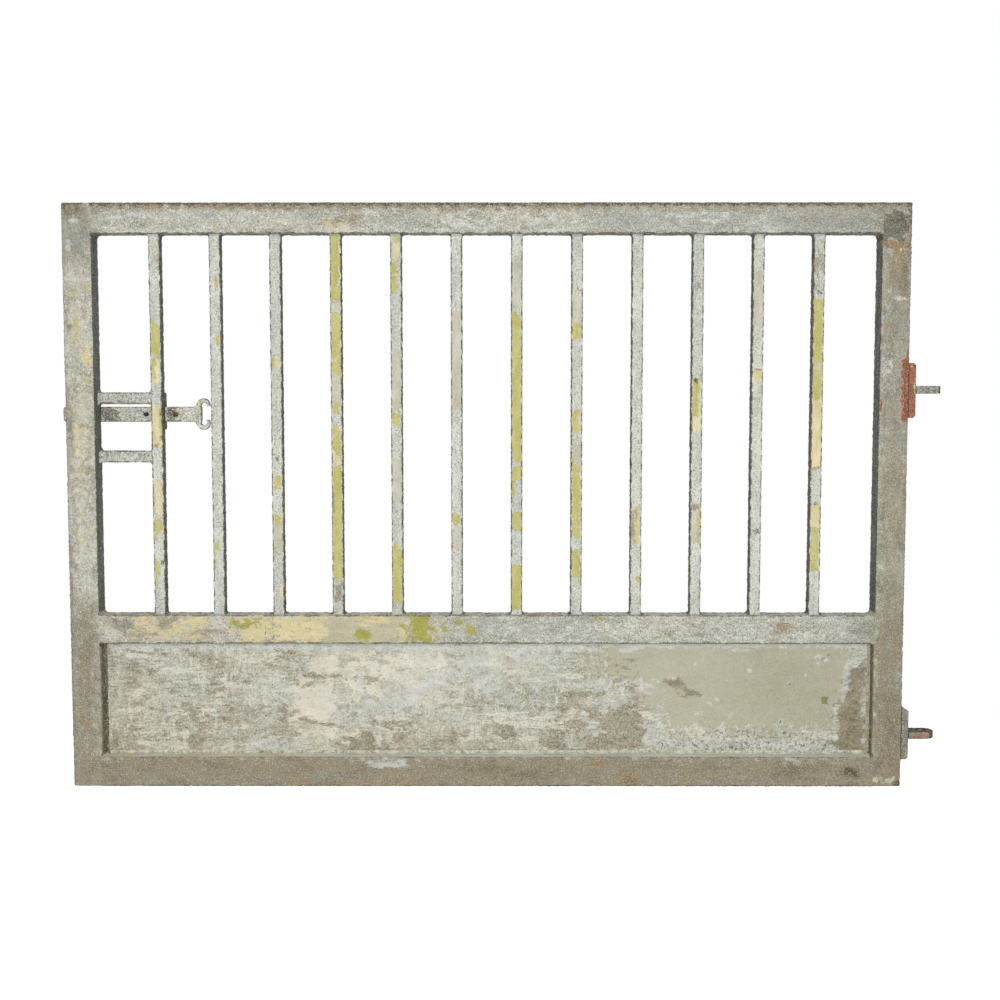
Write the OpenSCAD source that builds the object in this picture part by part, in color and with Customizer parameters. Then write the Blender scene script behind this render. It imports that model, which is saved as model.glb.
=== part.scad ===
// Pedestrian gate: one barred metal leaf with a kick panel, a sliding flat
// bolt with a scroll handle, and two hinge lugs that drop over pintles.
// Millimetres. X runs across the leaf towards the hinge side, Y from the
// front face to the back, Z up. The origin is on the hinge axis, at the
// underside of the lower lug, where the gate's weight rests on its pintle.

/* [Leaf] */
// Overall width, outside to outside of the two stiles
leaf_w = 1404; // [1100:1:1800]
// Overall height
leaf_h = 980; // [800:1:1300]
// Depth of the stiles and rails, front to back
frame_d = 38; // [32:1:50]
// Front width of each stile
stile_w = 49; // [40:1:60]
// Height of the top rail
top_rail_h = 50; // [40:1:60]
// Height of the mid rail
mid_rail_h = 47.5; // [38:0.5:60]
// Height of the bottom rail
bottom_rail_h = 51; // [40:1:60]
// Clear height between the bottom rail and the mid rail
panel_opening_h = 194.5; // [120:0.5:280]
// Chamfer worn on the long edges of the stiles and rails
frame_chamfer = 1.2; // [0.5:0.1:2.5]
// Radius ground on the four outer corners of the leaf
leaf_corner_r = 3; // [1:0.5:8]

/* [Bars] */
// Number of upright bars
bar_count = 12; // [8:1:16]
// Front width of a bar
bar_w = 19; // [14:1:25]
// Depth of a bar, front to back
bar_d = 19; // [12:1:25]
// Distance from the outside of a stile to the centre of the nearest bar
first_bar_in = 147.6; // [130:0.2:170]
// Chamfer worn on the long edges of a bar
bar_chamfer = 1.5; // [0.5:0.1:2.5]

/* [Latch crossbars] */
// Height of a crossbar, which is as deep as a bar
crossbar_h = 19.5; // [14:0.5:25]
// Centre of the upper crossbar above the foot of the leaf
upper_crossbar_z = 658; // [650:1:700]
// Centre of the lower crossbar above the foot of the leaf
lower_crossbar_z = 560; // [500:1:600]

/* [Kick panel] */
// Thickness of the sheet
panel_t = 3; // [2:0.5:6]
// Distance from the front of the frame back to the sheet
panel_recess = 27; // [18:0.5:28]

/* [Welds] */
// Leg of the weld beads on the sides of a bar's ends
bar_weld = 3; // [2:0.5:8]
// Leg of the weld bead in front of a bar's end
bar_front_weld = 6; // [2:0.5:10]
// Leg of the weld bead in each corner of the frame
corner_weld = 6; // [3:0.5:10]
// Leg of the weld bead round the kick panel
panel_weld = 5; // [3:0.5:7]

/* [Bolt] */
// Height of the flat bar
bolt_h = 25.4; // [20:0.2:30]
// Thickness of the flat bar
bolt_t = 6.5; // [5:0.5:8]
// Centre line of the bolt above the foot of the leaf
bolt_z = 631; // [600:1:632]
// How far the bolt stands out of the stile at rest
bolt_throw = 16; // [0:1:30]
// Radius on the corners of the bolt's tip
bolt_tip_r = 5; // [2:0.5:8]
// Gap between the back of the bars and the face of the bolt
bolt_gap = 2; // [1:0.5:3]
// Gap under the bolt, where it lies on its two guides
bolt_seat = 0.3; // [0.1:0.1:0.5]
// Running gap above the bolt in its guides
bolt_slack_z = 2.4; // [0.5:0.1:3]
// Running gap behind the bolt in its guides
bolt_slack_y = 1; // [0.5:0.1:2]
// Diameter of the two stop pins
stop_d = 8; // [6:0.5:10]
// How far the stop pins stand forward of the bolt
stop_l = 8; // [5:0.5:12]
// Travel from rest until the inner stop pin meets the first bar
throw_out = 13.8; // [10:0.1:20]
// Travel from rest until the outer stop pin meets the first bar
draw_back = 8.7; // [5:0.1:15]

/* [Scroll handle] */
// Clear distance from the first bar to the mouth side of the scroll's back
scroll_in = 61.5; // [55:0.1:70]
// Thickness of the scroll's back
scroll_back = 8; // [6:0.5:10]
// Outer radius of each curl
curl_r = 11; // [9:0.5:12]
// Inner radius of each curl
curl_hole_r = 5; // [3.5:0.5:6]
// Height of the upper curl's centre above the bolt's centre line
upper_curl_z = 16.2; // [14:0.1:20]
// Depth of the lower curl's centre below the bolt's centre line
lower_curl_z = 15.4; // [14:0.1:20]
// Height of the upper curl's tip above the bolt's centre line
upper_tip_z = 13.4; // [8:0.1:15]
// Depth of the lower curl's tip below the bolt's centre line
lower_tip_z = 9.4; // [8:0.1:15]

/* [Bolt guides] */
// Distance from the outside of the latch stile to the guide on its back
stile_guide_in = 15; // [8:1:22]
// Height of a guide above the bolt's centre line
guide_up = 37; // [28:1:45]
// Depth of a guide below the bolt's centre line
guide_down = 26; // [22:1:35]
// Thickness of a guide behind the bolt
guide_web = 5; // [3:0.5:6]
// Radius on the rear corners of a guide
guide_r = 5; // [2:0.5:8]

/* [Hinges] */
// Distance from the stile to the hinge axis
hinge_out = 40; // [34:1:60]
// Thickness of a hinge pad
pad_t = 13; // [8:0.5:16]
// Height of a hinge pad
pad_h = 92; // [70:1:110]
// Depth of a hinge pad, front to back
pad_d = 34; // [26:1:36]
// Chamfer on the outer corners of the upper pad and the foot of the lower
upper_pad_chamfer = 4; // [2:0.5:8]
// How far the slanted top of the lower pad reaches across it
lower_pad_slant_w = 12; // [4:0.5:12]
// How far the slanted top of the lower pad falls
lower_pad_slant_h = 8.5; // [4:0.5:12]
// Thickness of a lug
lug_t = 13.5; // [10:0.5:18]
// Width of a lug, front to back
lug_w = 32; // [28:1:40]
// Diameter of the eye that drops over the pintle
eye_d = 17; // [12:0.5:20]
// Distance from the hinge axis to the square end of the upper lug
upper_lug_end = 15; // [13:0.5:20]
// Distance from the hinge axis to the round end of the lower lug
lower_lug_end = 19; // [17:0.5:24]
// Underside of the lower lug above the foot of the leaf
lower_lug_z = 81; // [60:1:110]
// Underside of the upper lug above the foot of the leaf
upper_lug_z = 665.5; // [600:0.5:700]
// Distance from the foot of the lower pad up to its lug
lower_pad_drop = 35; // [20:1:50]
// Distance from the foot of the upper pad up to its lug
upper_pad_drop = 40.5; // [20:0.5:50]

/* [Hidden] */
$fn = 64;
past = 1; // how far a cutter runs past the face that it cuts

// the leaf's box
leaf_right = -hinge_out;
leaf_left = leaf_right - leaf_w;
foot_z = -lower_lug_z;
front_y = -frame_d / 2;
inner_left = leaf_left + stile_w;
inner_w = leaf_w - 2 * stile_w;

// rails and openings, from the foot up
panel_foot_z = foot_z + bottom_rail_h;
mid_rail_z = panel_foot_z + panel_opening_h;
bar_foot_z = mid_rail_z + mid_rail_h;
top_rail_z = foot_z + leaf_h - top_rail_h;
bar_l = top_rail_z - bar_foot_z;

// bars
bar_pitch = (leaf_w - 2 * first_bar_in) / (bar_count - 1);
first_bar_left = leaf_left + first_bar_in - bar_w / 2;
first_bar_right = first_bar_left + bar_w;
bar_back_y = -front_y;
bar_front_y = bar_back_y - bar_d;

// bolt
bolt_y = bar_back_y + bolt_gap;
bolt_mid_z = foot_z + bolt_z;
bolt_left = leaf_left - bolt_throw;
slot_z = bolt_mid_z - bolt_h / 2 - bolt_seat;
slot_h = bolt_h + bolt_seat + bolt_slack_z;
scroll_x = first_bar_right + scroll_in;
curl_x = scroll_x + curl_r - scroll_back;
hole_x = scroll_x + curl_hole_r - 1;
stop_r = stop_d / 2;
outer_stop_x = first_bar_left - draw_back - stop_r;
inner_stop_x = first_bar_right + throw_out + stop_r;

colour_zinc = [0.70, 0.70, 0.66];
colour_bar = [0.76, 0.76, 0.70];
colour_panel = [0.66, 0.64, 0.55];
colour_weld = [0.58, 0.57, 0.52];
colour_bolt = [0.72, 0.69, 0.60];
colour_rust = [0.22, 0.16, 0.12];
colour_primer = [0.62, 0.36, 0.28];

function bar_name(i) = str("bar_", i < 10 ? "0" : "", i);
function bar_x(i) = leaf_left + first_bar_in + (i - 1) * bar_pitch;

// A rectangle from the origin with chamfered corners.
module chamfered(w, d, c) {
    polygon([[c, 0], [w - c, 0], [w, c], [w, d - c],
             [w - c, d], [c, d], [0, d - c], [0, c]]);
}

// A rectangle from the origin whose corners at the far end in Y are rounded.
module round_topped(w, d, r) {
    square([w, d - r]);
    translate([r, 0]) square([w - 2 * r, d]);
    for (x = [r, w - r]) translate([x, d - r]) circle(r = r);
}

// Extrudes a shape drawn in X and Z through the depth y0 to y1.
module through_depth(y0, y1) {
    translate([0, y1, 0]) rotate([90, 0, 0]) linear_extrude(y1 - y0) children();
}

// The section of a weld bead in a corner at the origin: a hollow face
// between two legs, blunt where it runs out on each side.
module bead_section(leg) {
    reach = 1.3 * leg;
    difference() {
        square(leg);
        translate([reach, reach]) circle(r = reach);
    }
}

// A bead in the corner at x, z that opens towards side_x and side_z.
module corner_bead(x, z, side_x, side_z, leg, y0, y1) {
    through_depth(y0, y1)
        translate([x, z])
            mirror([side_x < 0 ? 1 : 0, 0])
                mirror([0, side_z < 0 ? 1 : 0])
                    bead_section(leg);
}

// An upright of the frame from its left edge x, up to the leaf's outline.
module stile(x) {
    intersection() {
        translate([x, front_y, foot_z])
            linear_extrude(leaf_h) chamfered(stile_w, frame_d, frame_chamfer);
        leaf_outline();
    }
}

// The leaf seen from the front, with its four outer corners rounded.
module leaf_outline() {
    r = leaf_corner_r;
    through_depth(front_y - past, past - front_y)
        translate([leaf_left, foot_z]) {
            translate([r, 0]) square([leaf_w - 2 * r, leaf_h]);
            translate([0, r]) square([leaf_w, leaf_h - 2 * r]);
            for (x = [r, leaf_w - r], z = [r, leaf_h - r]) translate([x, z]) circle(r = r);
        }
}

// A rail between the stiles from its underside z.
module rail(z, h) {
    translate([inner_left, front_y, z])
        rotate([90, 0, 90])
            linear_extrude(inner_w) chamfered(frame_d, h, frame_chamfer);
}

module latch_stile() { color(colour_zinc) stile(leaf_left); }

module hinge_stile() { color(colour_zinc) stile(leaf_right - stile_w); }

module top_rail() { color(colour_zinc) rail(top_rail_z, top_rail_h); }

module mid_rail() { color(colour_zinc) rail(mid_rail_z, mid_rail_h); }

module bottom_rail() { color(colour_zinc) rail(foot_z, bottom_rail_h); }

// Upright bar number i, counted from the latch side, flush with the back.
module bar(i) {
    color(colour_bar)
        translate([bar_x(i) - bar_w / 2, bar_front_y, bar_foot_z])
            linear_extrude(bar_l) chamfered(bar_w, bar_d, bar_chamfer);
}

// A crossbar from the latch stile to the first bar, centred at height z
// above the foot.
module crossbar(z) {
    color(colour_bar)
        translate([inner_left, bar_front_y, foot_z + z - crossbar_h / 2])
            rotate([90, 0, 90])
                linear_extrude(first_bar_left - inner_left)
                    chamfered(bar_d, crossbar_h, bar_chamfer);
}

module kick_panel() {
    color(colour_panel)
        translate([inner_left, front_y + panel_recess, panel_foot_z])
            cube([inner_w, panel_t, panel_opening_h]);
}

// The beads on both sides and the front of every bar, where it meets a rail
// at height z.
module bar_end_welds(z, side_z) {
    color(colour_weld)
        for (i = [1:bar_count]) {
            for (side = [-1, 1])
                corner_bead(bar_x(i) + side * bar_w / 2, z, side, side_z, bar_weld,
                            bar_front_y + bar_chamfer, bar_back_y - bar_chamfer);
            translate([bar_x(i) - bar_w / 2 + bar_chamfer, bar_front_y, z])
                rotate([90, 0, 90])
                    linear_extrude(bar_w - 2 * bar_chamfer)
                        mirror([1, 0]) mirror([0, side_z < 0 ? 1 : 0])
                            bead_section(bar_front_weld);
        }
}

module top_rail_welds() { bar_end_welds(top_rail_z, -1); }

module mid_rail_welds() { bar_end_welds(bar_foot_z, 1); }

// The beads in the corners where the rails meet the stiles, round the
// barred opening and in front of the kick panel.
module frame_corner_welds() {
    y0 = front_y + frame_chamfer;
    y_bars = -front_y - frame_chamfer;
    y_panel = front_y + panel_recess - panel_weld;
    color(colour_weld)
        for (side = [[inner_left, 1], [inner_left + inner_w, -1]]) {
            corner_bead(side[0], top_rail_z, side[1], -1, corner_weld, y0, y_bars);
            corner_bead(side[0], bar_foot_z, side[1], 1, corner_weld, y0, y_bars);
            corner_bead(side[0], mid_rail_z, side[1], -1, corner_weld, y0, y_panel);
            corner_bead(side[0], panel_foot_z, side[1], 1, corner_weld, y0, y_panel);
        }
}

// The beads above and below each end of the two crossbars.
module crossbar_welds() {
    color(colour_weld)
        for (z = [upper_crossbar_z, lower_crossbar_z], up = [-1, 1],
             side = [[inner_left, 1], [first_bar_left, -1]])
            corner_bead(side[0], foot_z + z + up * crossbar_h / 2, side[1], up, bar_weld,
                        bar_front_y + bar_chamfer, bar_back_y - bar_chamfer);
}

// A bead along the sheet's edge, in the corner between the sheet's face
// and the frame: along X from the origin, opening up and forward.
module edge_bead(l) {
    rotate([90, 0, 90]) linear_extrude(l) mirror([1, 0]) bead_section(panel_weld);
}

module kick_panel_weld() {
    color(colour_weld)
        translate([inner_left, front_y + panel_recess, panel_foot_z]) {
            edge_bead(inner_w);
            translate([inner_w, 0, panel_opening_h]) rotate([0, 180, 0]) edge_bead(inner_w);
            translate([0, 0, panel_opening_h]) rotate([0, 90, 0]) edge_bead(panel_opening_h);
            translate([inner_w, 0, 0]) rotate([0, -90, 0]) edge_bead(panel_opening_h);
        }
}

// The flat of the bolt from its rounded tip to the back of the scroll.
module bolt_flat() {
    l = scroll_x - scroll_back / 2 - bolt_left;
    translate([bolt_left + l, -bolt_h / 2])
        rotate(90) round_topped(bolt_h, l, bolt_tip_r);
}

// The C-shaped scroll at the bolt's inner end, drawn about the bolt's
// centre line: two curls on one back, with an open mouth.
module scroll() {
    mouth_w = 2 * curl_r;
    difference() {
        union() {
            translate([curl_x, upper_curl_z]) circle(r = curl_r);
            translate([curl_x, -lower_curl_z]) circle(r = curl_r);
            translate([scroll_x - scroll_back, -lower_curl_z])
                square([scroll_back, upper_curl_z + lower_curl_z]);
        }
        translate([hole_x, upper_curl_z - 1.6]) circle(r = curl_hole_r);
        translate([hole_x, -lower_curl_z + 1.6]) circle(r = curl_hole_r);
        translate([scroll_x, -lower_curl_z + 1.6])
            square([curl_hole_r, upper_curl_z + lower_curl_z - 3.2]);
        translate([scroll_x, -lower_tip_z]) square([mouth_w, upper_tip_z + lower_tip_z]);
    }
}

// The two hollow shoulders that carry the flat into the scroll's back.
module scroll_shoulders() {
    shoulder = 6;
    for (up = [-1, 1])
        translate([scroll_x - scroll_back, up * bolt_h / 2])
            mirror([1, 0]) mirror([0, up < 0 ? 1 : 0]) bead_section(shoulder);
}

module slide_bolt() {
    color(colour_bolt)
        translate([0, 0, bolt_mid_z])
            through_depth(bolt_y, bolt_y + bolt_t) {
                bolt_flat();
                scroll();
                scroll_shoulders();
            }
}

// A stop pin that stands forward of the bolt at x, with a rounded rim.
module stop_pin(x) {
    rim = 1;
    color(colour_rust)
        translate([x, bolt_y, bolt_mid_z])
            rotate([90, 0, 0])
                rotate_extrude()
                    polygon([[0, 0], [stop_r, 0], [stop_r, stop_l - rim],
                             [stop_r - rim, stop_l], [0, stop_l]]);
}

// The two staples, behind the latch stile and behind the first bar. Each is
// a forged block with rounded rear corners and a slot, open to the front,
// that the bolt slides through.
module bolt_guide() {
    depth = bolt_gap + bolt_t + bolt_slack_y + guide_web;
    color(colour_weld)
        for (x = [leaf_left + stile_guide_in, first_bar_left])
            translate([x, bar_back_y, bolt_mid_z]) rotate([90, 0, 90])
                linear_extrude(bar_w)
                    difference() {
                        translate([0, guide_up]) rotate(-90)
                            round_topped(guide_up + guide_down, depth, guide_r);
                        translate([-past, slot_z - bolt_mid_z])
                            square([depth - guide_web + past, slot_h]);
                    }
}

// The pad welded to the hinge stile, from its foot at height z: a chamfer
// at its foot, and a slant at its top that reaches w across and falls h.
module hinge_pad(z, w, h) {
    through_depth(-pad_d / 2, pad_d / 2)
        translate([leaf_right, foot_z + z])
            polygon([[0, 0], [pad_t - upper_pad_chamfer, 0], [pad_t, upper_pad_chamfer],
                     [pad_t, pad_h - h], [pad_t - w, pad_h], [0, pad_h]]);
}

module hinge_pad_upper() {
    color(colour_primer)
        hinge_pad(upper_lug_z - upper_pad_drop, upper_pad_chamfer, upper_pad_chamfer);
}

module hinge_pad_lower() {
    color(colour_zinc)
        hinge_pad(lower_lug_z - lower_pad_drop, lower_pad_slant_w, lower_pad_slant_h);
}

// The eye through a lug on the hinge axis.
module eye() {
    translate([0, 0, -past]) cylinder(d = eye_d, h = lug_t + 2 * past);
}

module hinge_lug_upper() {
    corner = 4;
    color(colour_zinc)
        translate([0, 0, foot_z + upper_lug_z])
            difference() {
                linear_extrude(lug_t)
                    polygon([[leaf_right + pad_t, -lug_w / 2],
                             [upper_lug_end - corner, -lug_w / 2],
                             [upper_lug_end, corner - lug_w / 2],
                             [upper_lug_end, lug_w / 2 - corner],
                             [upper_lug_end - corner, lug_w / 2],
                             [leaf_right + pad_t, lug_w / 2]]);
                eye();
            }
}

module hinge_lug_lower() {
    end_x = lower_lug_end - lug_w / 2;
    color(colour_primer)
        translate([0, 0, foot_z + lower_lug_z])
            difference() {
                linear_extrude(lug_t) {
                    translate([leaf_right + pad_t, -lug_w / 2])
                        square([end_x - leaf_right - pad_t, lug_w]);
                    translate([end_x, 0]) circle(d = lug_w);
                }
                eye();
            }
}

latch_stile();
hinge_stile();
top_rail();
mid_rail();
bottom_rail();
for (i = [1:bar_count]) bar(i);
crossbar(upper_crossbar_z);  // latch_crossbar_upper
crossbar(lower_crossbar_z);  // latch_crossbar_lower
kick_panel();
top_rail_welds();
mid_rail_welds();
frame_corner_welds();
crossbar_welds();
kick_panel_weld();
slide_bolt();
stop_pin(outer_stop_x);  // bolt_stop_outer
stop_pin(inner_stop_x);  // bolt_stop_inner
bolt_guide();
hinge_pad_upper();
hinge_pad_lower();
hinge_lug_upper();
hinge_lug_lower();
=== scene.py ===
# %% [markdown]
# # A barred pedestrian gate, weathered by many years outdoors
# The gate is one welded leaf: two stiles, three rails, twelve upright bars and
# a thin kick panel, with a flat sliding bolt on one side and two hinge lugs on
# the other. The construction is already settled in the frame that is loaded
# below. What is made here is the finish: worn edges, dressed welds, coat on
# coat of old paint that has flaked away from zinc-coated steel, painted shade
# on faces and edges that turn from the light, and painted highlights on some
# ledges that face it.

# %% Load the frame
import math

import bmesh
import bpy
import numpy as np
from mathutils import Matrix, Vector


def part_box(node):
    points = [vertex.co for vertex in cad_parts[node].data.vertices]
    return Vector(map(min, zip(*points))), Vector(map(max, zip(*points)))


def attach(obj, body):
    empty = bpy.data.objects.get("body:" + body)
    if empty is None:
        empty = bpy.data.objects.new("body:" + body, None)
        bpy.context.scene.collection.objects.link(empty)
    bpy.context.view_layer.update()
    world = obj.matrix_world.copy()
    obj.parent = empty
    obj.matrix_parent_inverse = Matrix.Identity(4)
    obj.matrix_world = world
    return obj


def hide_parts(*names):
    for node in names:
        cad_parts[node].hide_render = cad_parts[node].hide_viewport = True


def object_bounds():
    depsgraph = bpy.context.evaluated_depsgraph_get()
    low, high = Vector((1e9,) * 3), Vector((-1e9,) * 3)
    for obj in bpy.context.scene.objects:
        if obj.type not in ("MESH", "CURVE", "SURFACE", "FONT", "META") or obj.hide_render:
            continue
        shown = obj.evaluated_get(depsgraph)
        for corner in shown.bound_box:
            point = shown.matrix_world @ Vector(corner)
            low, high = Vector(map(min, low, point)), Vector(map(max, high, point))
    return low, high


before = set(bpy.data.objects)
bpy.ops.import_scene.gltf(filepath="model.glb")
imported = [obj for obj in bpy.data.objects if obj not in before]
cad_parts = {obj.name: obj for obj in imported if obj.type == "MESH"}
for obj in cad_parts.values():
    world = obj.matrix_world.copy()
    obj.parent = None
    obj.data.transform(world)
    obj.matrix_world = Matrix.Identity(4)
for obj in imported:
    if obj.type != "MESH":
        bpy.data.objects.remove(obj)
cad_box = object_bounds()
MM = 0.001
print("nodes in the frame:", len(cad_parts))

# %% [markdown]
# Everything is placed from the frame's own boxes. Here the few that are used
# again and again get names: the leaf's four edges, its front and back faces,
# and the bars in order from the latch side.

# %% Name the places that are used again and again
stile_low, stile_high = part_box("latch_stile")
hinge_low, hinge_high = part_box("hinge_stile")
leaf_left, leaf_right = stile_low.x, hinge_high.x
foot, head = stile_low.z, stile_high.z
front, back = stile_low.y, stile_high.y
inner_left, inner_right = stile_high.x, hinge_low.x
bar_names = sorted(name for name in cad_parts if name.startswith("bar_"))
print("leaf", round(leaf_right - leaf_left, 3), "by", round(head - foot, 3), "m")
print("bars", len(bar_names))

# %% [markdown]
# ## Camera and light
# The gate is looked at from the front, a little above its middle, so that the
# upper faces of the rails just show. A lens of about 49 mm keeps it from
# looking stretched at the sides.

# %% Set the camera
CAMERA_PLACE = Vector((-0.7147, -2.2824, 0.5732))
CAMERA_TILT = math.radians(90 - 4.192)
CAMERA_TURN = math.radians(0.124)
LENS = 48.83
bpy.ops.object.select_all(action="DESELECT")
bpy.ops.object.camera_add(location=CAMERA_PLACE, rotation=(CAMERA_TILT, 0, CAMERA_TURN))
camera = bpy.context.object
camera.name = "camera"
camera.data.lens = LENS
camera.data.sensor_width = 36
scene = bpy.context.scene
scene.camera = camera
scene.view_settings.view_transform = "Standard"
print("camera", [round(v, 3) for v in camera.location])

# %% [markdown]
# The light is plain and soft. A large lamp behind the camera lights the front
# faces almost evenly, so a colour renders about as it is written, and leaves
# the sides of the bars dark. One overhead picks out the ledges and the upper
# faces, and one behind keeps the back readable when the gate is looked at from there.

# %% Set the lamps
def soft_lamp(name, place, target, size, watts):
    """A square area lamp at a place, turned towards a target."""
    bpy.ops.object.light_add(type="AREA", location=place)
    lamp = bpy.context.object
    lamp.name = name
    lamp.data.shape = "SQUARE"
    lamp.data.size = size
    lamp.data.energy = watts
    lamp.rotation_euler = (Vector(target) - Vector(place)).to_track_quat("-Z", "Y").to_euler()
    return lamp


leaf_middle = Vector(((leaf_left + leaf_right) / 2, 0, (foot + head) / 2))
LAMPS = {"front_lamp": ((0, -4.6, 0.9), 1.8, 130),
         "back_lamp": ((0, 4.6, 0.9), 1.8, 100),
         "top_lamp": ((0, 0, 4.0), 2.4, 90)}
for name, (away, size, watts) in LAMPS.items():
    soft_lamp(name, leaf_middle + Vector(away), leaf_middle, size, watts)
print("lamps", list(LAMPS))

# %% [markdown]
# Backdrop, floor and finishes are all made of shader nodes. Each of these helpers
# adds one node and wires it up, so that a long shader can be read line by line.

# %% Node helpers
def put(tree, kind, **settings):
    """Adds a node and sets its properties; inputs are set by the caller."""
    node = tree.nodes.new(kind)
    for name, value in settings.items():
        setattr(node, name, value)
    return node


def feed(tree, value, socket):
    """Links an output to a socket, or writes a plain value into it."""
    if isinstance(value, bpy.types.NodeSocket):
        tree.links.new(value, socket)
    else:
        socket.default_value = value


def calc(tree, operation, a, b=0.0, c=0.0, clamp=False):
    """A Math node's output."""
    node = put(tree, "ShaderNodeMath", operation=operation, use_clamp=clamp)
    for value, socket in zip((a, b, c), node.inputs):
        feed(tree, value, socket)
    return node.outputs[0]


def ramp(tree, value, low, high):
    """A value turned into 0 below low and 1 above high, smoothly."""
    node = put(tree, "ShaderNodeMapRange", interpolation_type="SMOOTHSTEP")
    for part, socket in zip((value, low, high), node.inputs):
        feed(tree, part, socket)
    return node.outputs[0]


# %% [markdown]
# The backdrop is white only to the camera and to reflections. As a lamp it is
# dim, or it would wash out the dark sides of the bars. Light Path tells the two
# kinds of ray apart.

# %% Set the backdrop
AMBIENT = 0.16
WHITE = (1, 1, 1, 1)


def is_looked_at(tree):
    """1 for rays that look at the scene or mirror it, and 0 for rays that light it."""
    path = put(tree, "ShaderNodeLightPath").outputs
    seen = calc(tree, "MAXIMUM", path["Is Camera Ray"], path["Is Glossy Ray"])
    return calc(tree, "MAXIMUM", seen, path["Is Transmission Ray"])


def either_of(tree, share, below, above, surface):
    """Blends two shaders by a share and feeds them to an output node."""
    blend = put(tree, "ShaderNodeMixShader")
    for value, socket in zip((share, below, above), blend.inputs):
        feed(tree, value, socket)
    feed(tree, blend.outputs[0], surface)


world = bpy.data.worlds.new("studio")
scene.world = world
world.use_nodes = True
sky = world.node_tree
sky.nodes.clear()
dim = put(sky, "ShaderNodeBackground")
dim.inputs["Color"].default_value = WHITE
dim.inputs["Strength"].default_value = AMBIENT
white = put(sky, "ShaderNodeBackground")
white.inputs["Color"].default_value = WHITE
white.inputs["Strength"].default_value = 1.0
either_of(sky, is_looked_at(sky), dim.outputs[0], white.outputs[0],
          put(sky, "ShaderNodeOutputWorld").inputs["Surface"])
print("backdrop", len(sky.nodes), "nodes, and", AMBIENT, "as a lamp")

# %% [markdown]
# The floor lies a hand's breadth under the leaf, as it does under a gate that
# hangs from its post. Near the gate it is a pale matt surface that glows a little
# towards the camera, so it holds the gate's soft shadow. Further off it turns into
# the white of the backdrop, so that no horizon shows.

# %% Lay the floor
FLOOR_DROP = 70 * MM
FLOOR_SIZE = 24
FLOOR_PALE = 0.86
SHADOW_REACH = (0.7, 1.5)
bpy.ops.object.select_all(action="DESELECT")
bpy.ops.mesh.primitive_plane_add(size=FLOOR_SIZE, location=(leaf_middle.x, 0, foot - FLOOR_DROP))
floor = bpy.context.object
floor.name = "floor"
floor_paint = bpy.data.materials.new("pale_floor")
floor_paint.use_nodes = True
tree = floor_paint.node_tree
surface = tree.nodes["Principled BSDF"]
surface.inputs["Base Color"].default_value = (FLOOR_PALE, FLOOR_PALE, FLOOR_PALE, 1)
surface.inputs["Roughness"].default_value = 0.9
surface.inputs["Specular IOR Level"].default_value = 0.0
surface.inputs["Emission Color"].default_value = WHITE
looked_at = is_looked_at(tree)
feed(tree, calc(tree, "MULTIPLY", looked_at, FLOOR_PALE), surface.inputs["Emission Strength"])
distance = put(tree, "ShaderNodeVectorMath", operation="LENGTH")
feed(tree, put(tree, "ShaderNodeTexCoord").outputs["Object"], distance.inputs[0])
far = ramp(tree, distance.outputs["Value"], *SHADOW_REACH)
plain = put(tree, "ShaderNodeEmission")
plain.inputs["Color"].default_value = WHITE
either_of(tree, calc(tree, "MULTIPLY", far, looked_at), surface.outputs[0], plain.outputs[0],
          tree.nodes["Material Output"].inputs["Surface"])
floor.data.materials.append(floor_paint)
print("floor at", round(floor.location.z, 3))

# %% [markdown]
# ## Tools for modelling
# Small helpers do what the mouse does by hand: leave nothing selected but the
# piece in work, pick some of its edges or faces by a rule, and finish by applying
# a modifier.

# %% Selecting and applying helpers
def work_on(piece):
    """Makes one piece the only selected and the active object, in object mode."""
    if bpy.context.mode != "OBJECT":
        bpy.ops.object.mode_set(mode="OBJECT")
    bpy.ops.object.select_all(action="DESELECT")
    piece.select_set(True)
    bpy.context.view_layer.objects.active = piece


def pick(piece, kind, test):
    """In edit mode, selects the vertices, edges or faces that pass a test."""
    bpy.ops.mesh.select_mode(type=kind)
    bpy.ops.mesh.select_all(action="DESELECT")
    shape = bmesh.from_edit_mesh(piece.data)
    parts = {"VERT": shape.verts, "EDGE": shape.edges, "FACE": shape.faces}[kind]
    for part in parts:
        if test(part):
            part.select_set(True)
    bmesh.update_edit_mesh(piece.data)


def use_modifier(piece, kind, **settings):
    """Adds a modifier with these settings and applies it."""
    work_on(piece)
    modifier = piece.modifiers.new(kind.lower(), kind)
    for name, value in settings.items():
        setattr(modifier, name, value)
    bpy.ops.object.modifier_apply(modifier=modifier.name)


# %% [markdown]
# Every member starts as a rectangular blank. Wear needs many small faces, so the
# blank is cut across at even steps, or at chosen places where its shape changes.
# A long blank is divided in two goes, first into coarse parts and then each part
# again, so that neither go makes very many cuts.

# %% Blank and cutting helpers
STRAIGHT = 0.999
MOST_CUTS = 20
TOUCHING = 0.01 * MM


def blank(name, low, high):
    """A rectangular blank between two corners, with its place in its mesh."""
    bpy.ops.object.select_all(action="DESELECT")
    low, high = Vector(low), Vector(high)
    bpy.ops.mesh.primitive_cube_add(size=1, location=(low + high) / 2)
    piece = bpy.context.object
    piece.name = name
    piece.scale = high - low
    bpy.ops.object.transform_apply(location=True, rotation=True, scale=True)
    return piece


def edge_runs_along(edge, axis, longer_than):
    """True if an edge lies along one axis and is longer than a length."""
    run = edge.verts[1].co - edge.verts[0].co
    return run.length > longer_than and abs(run[axis]) > STRAIGHT * run.length


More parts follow.
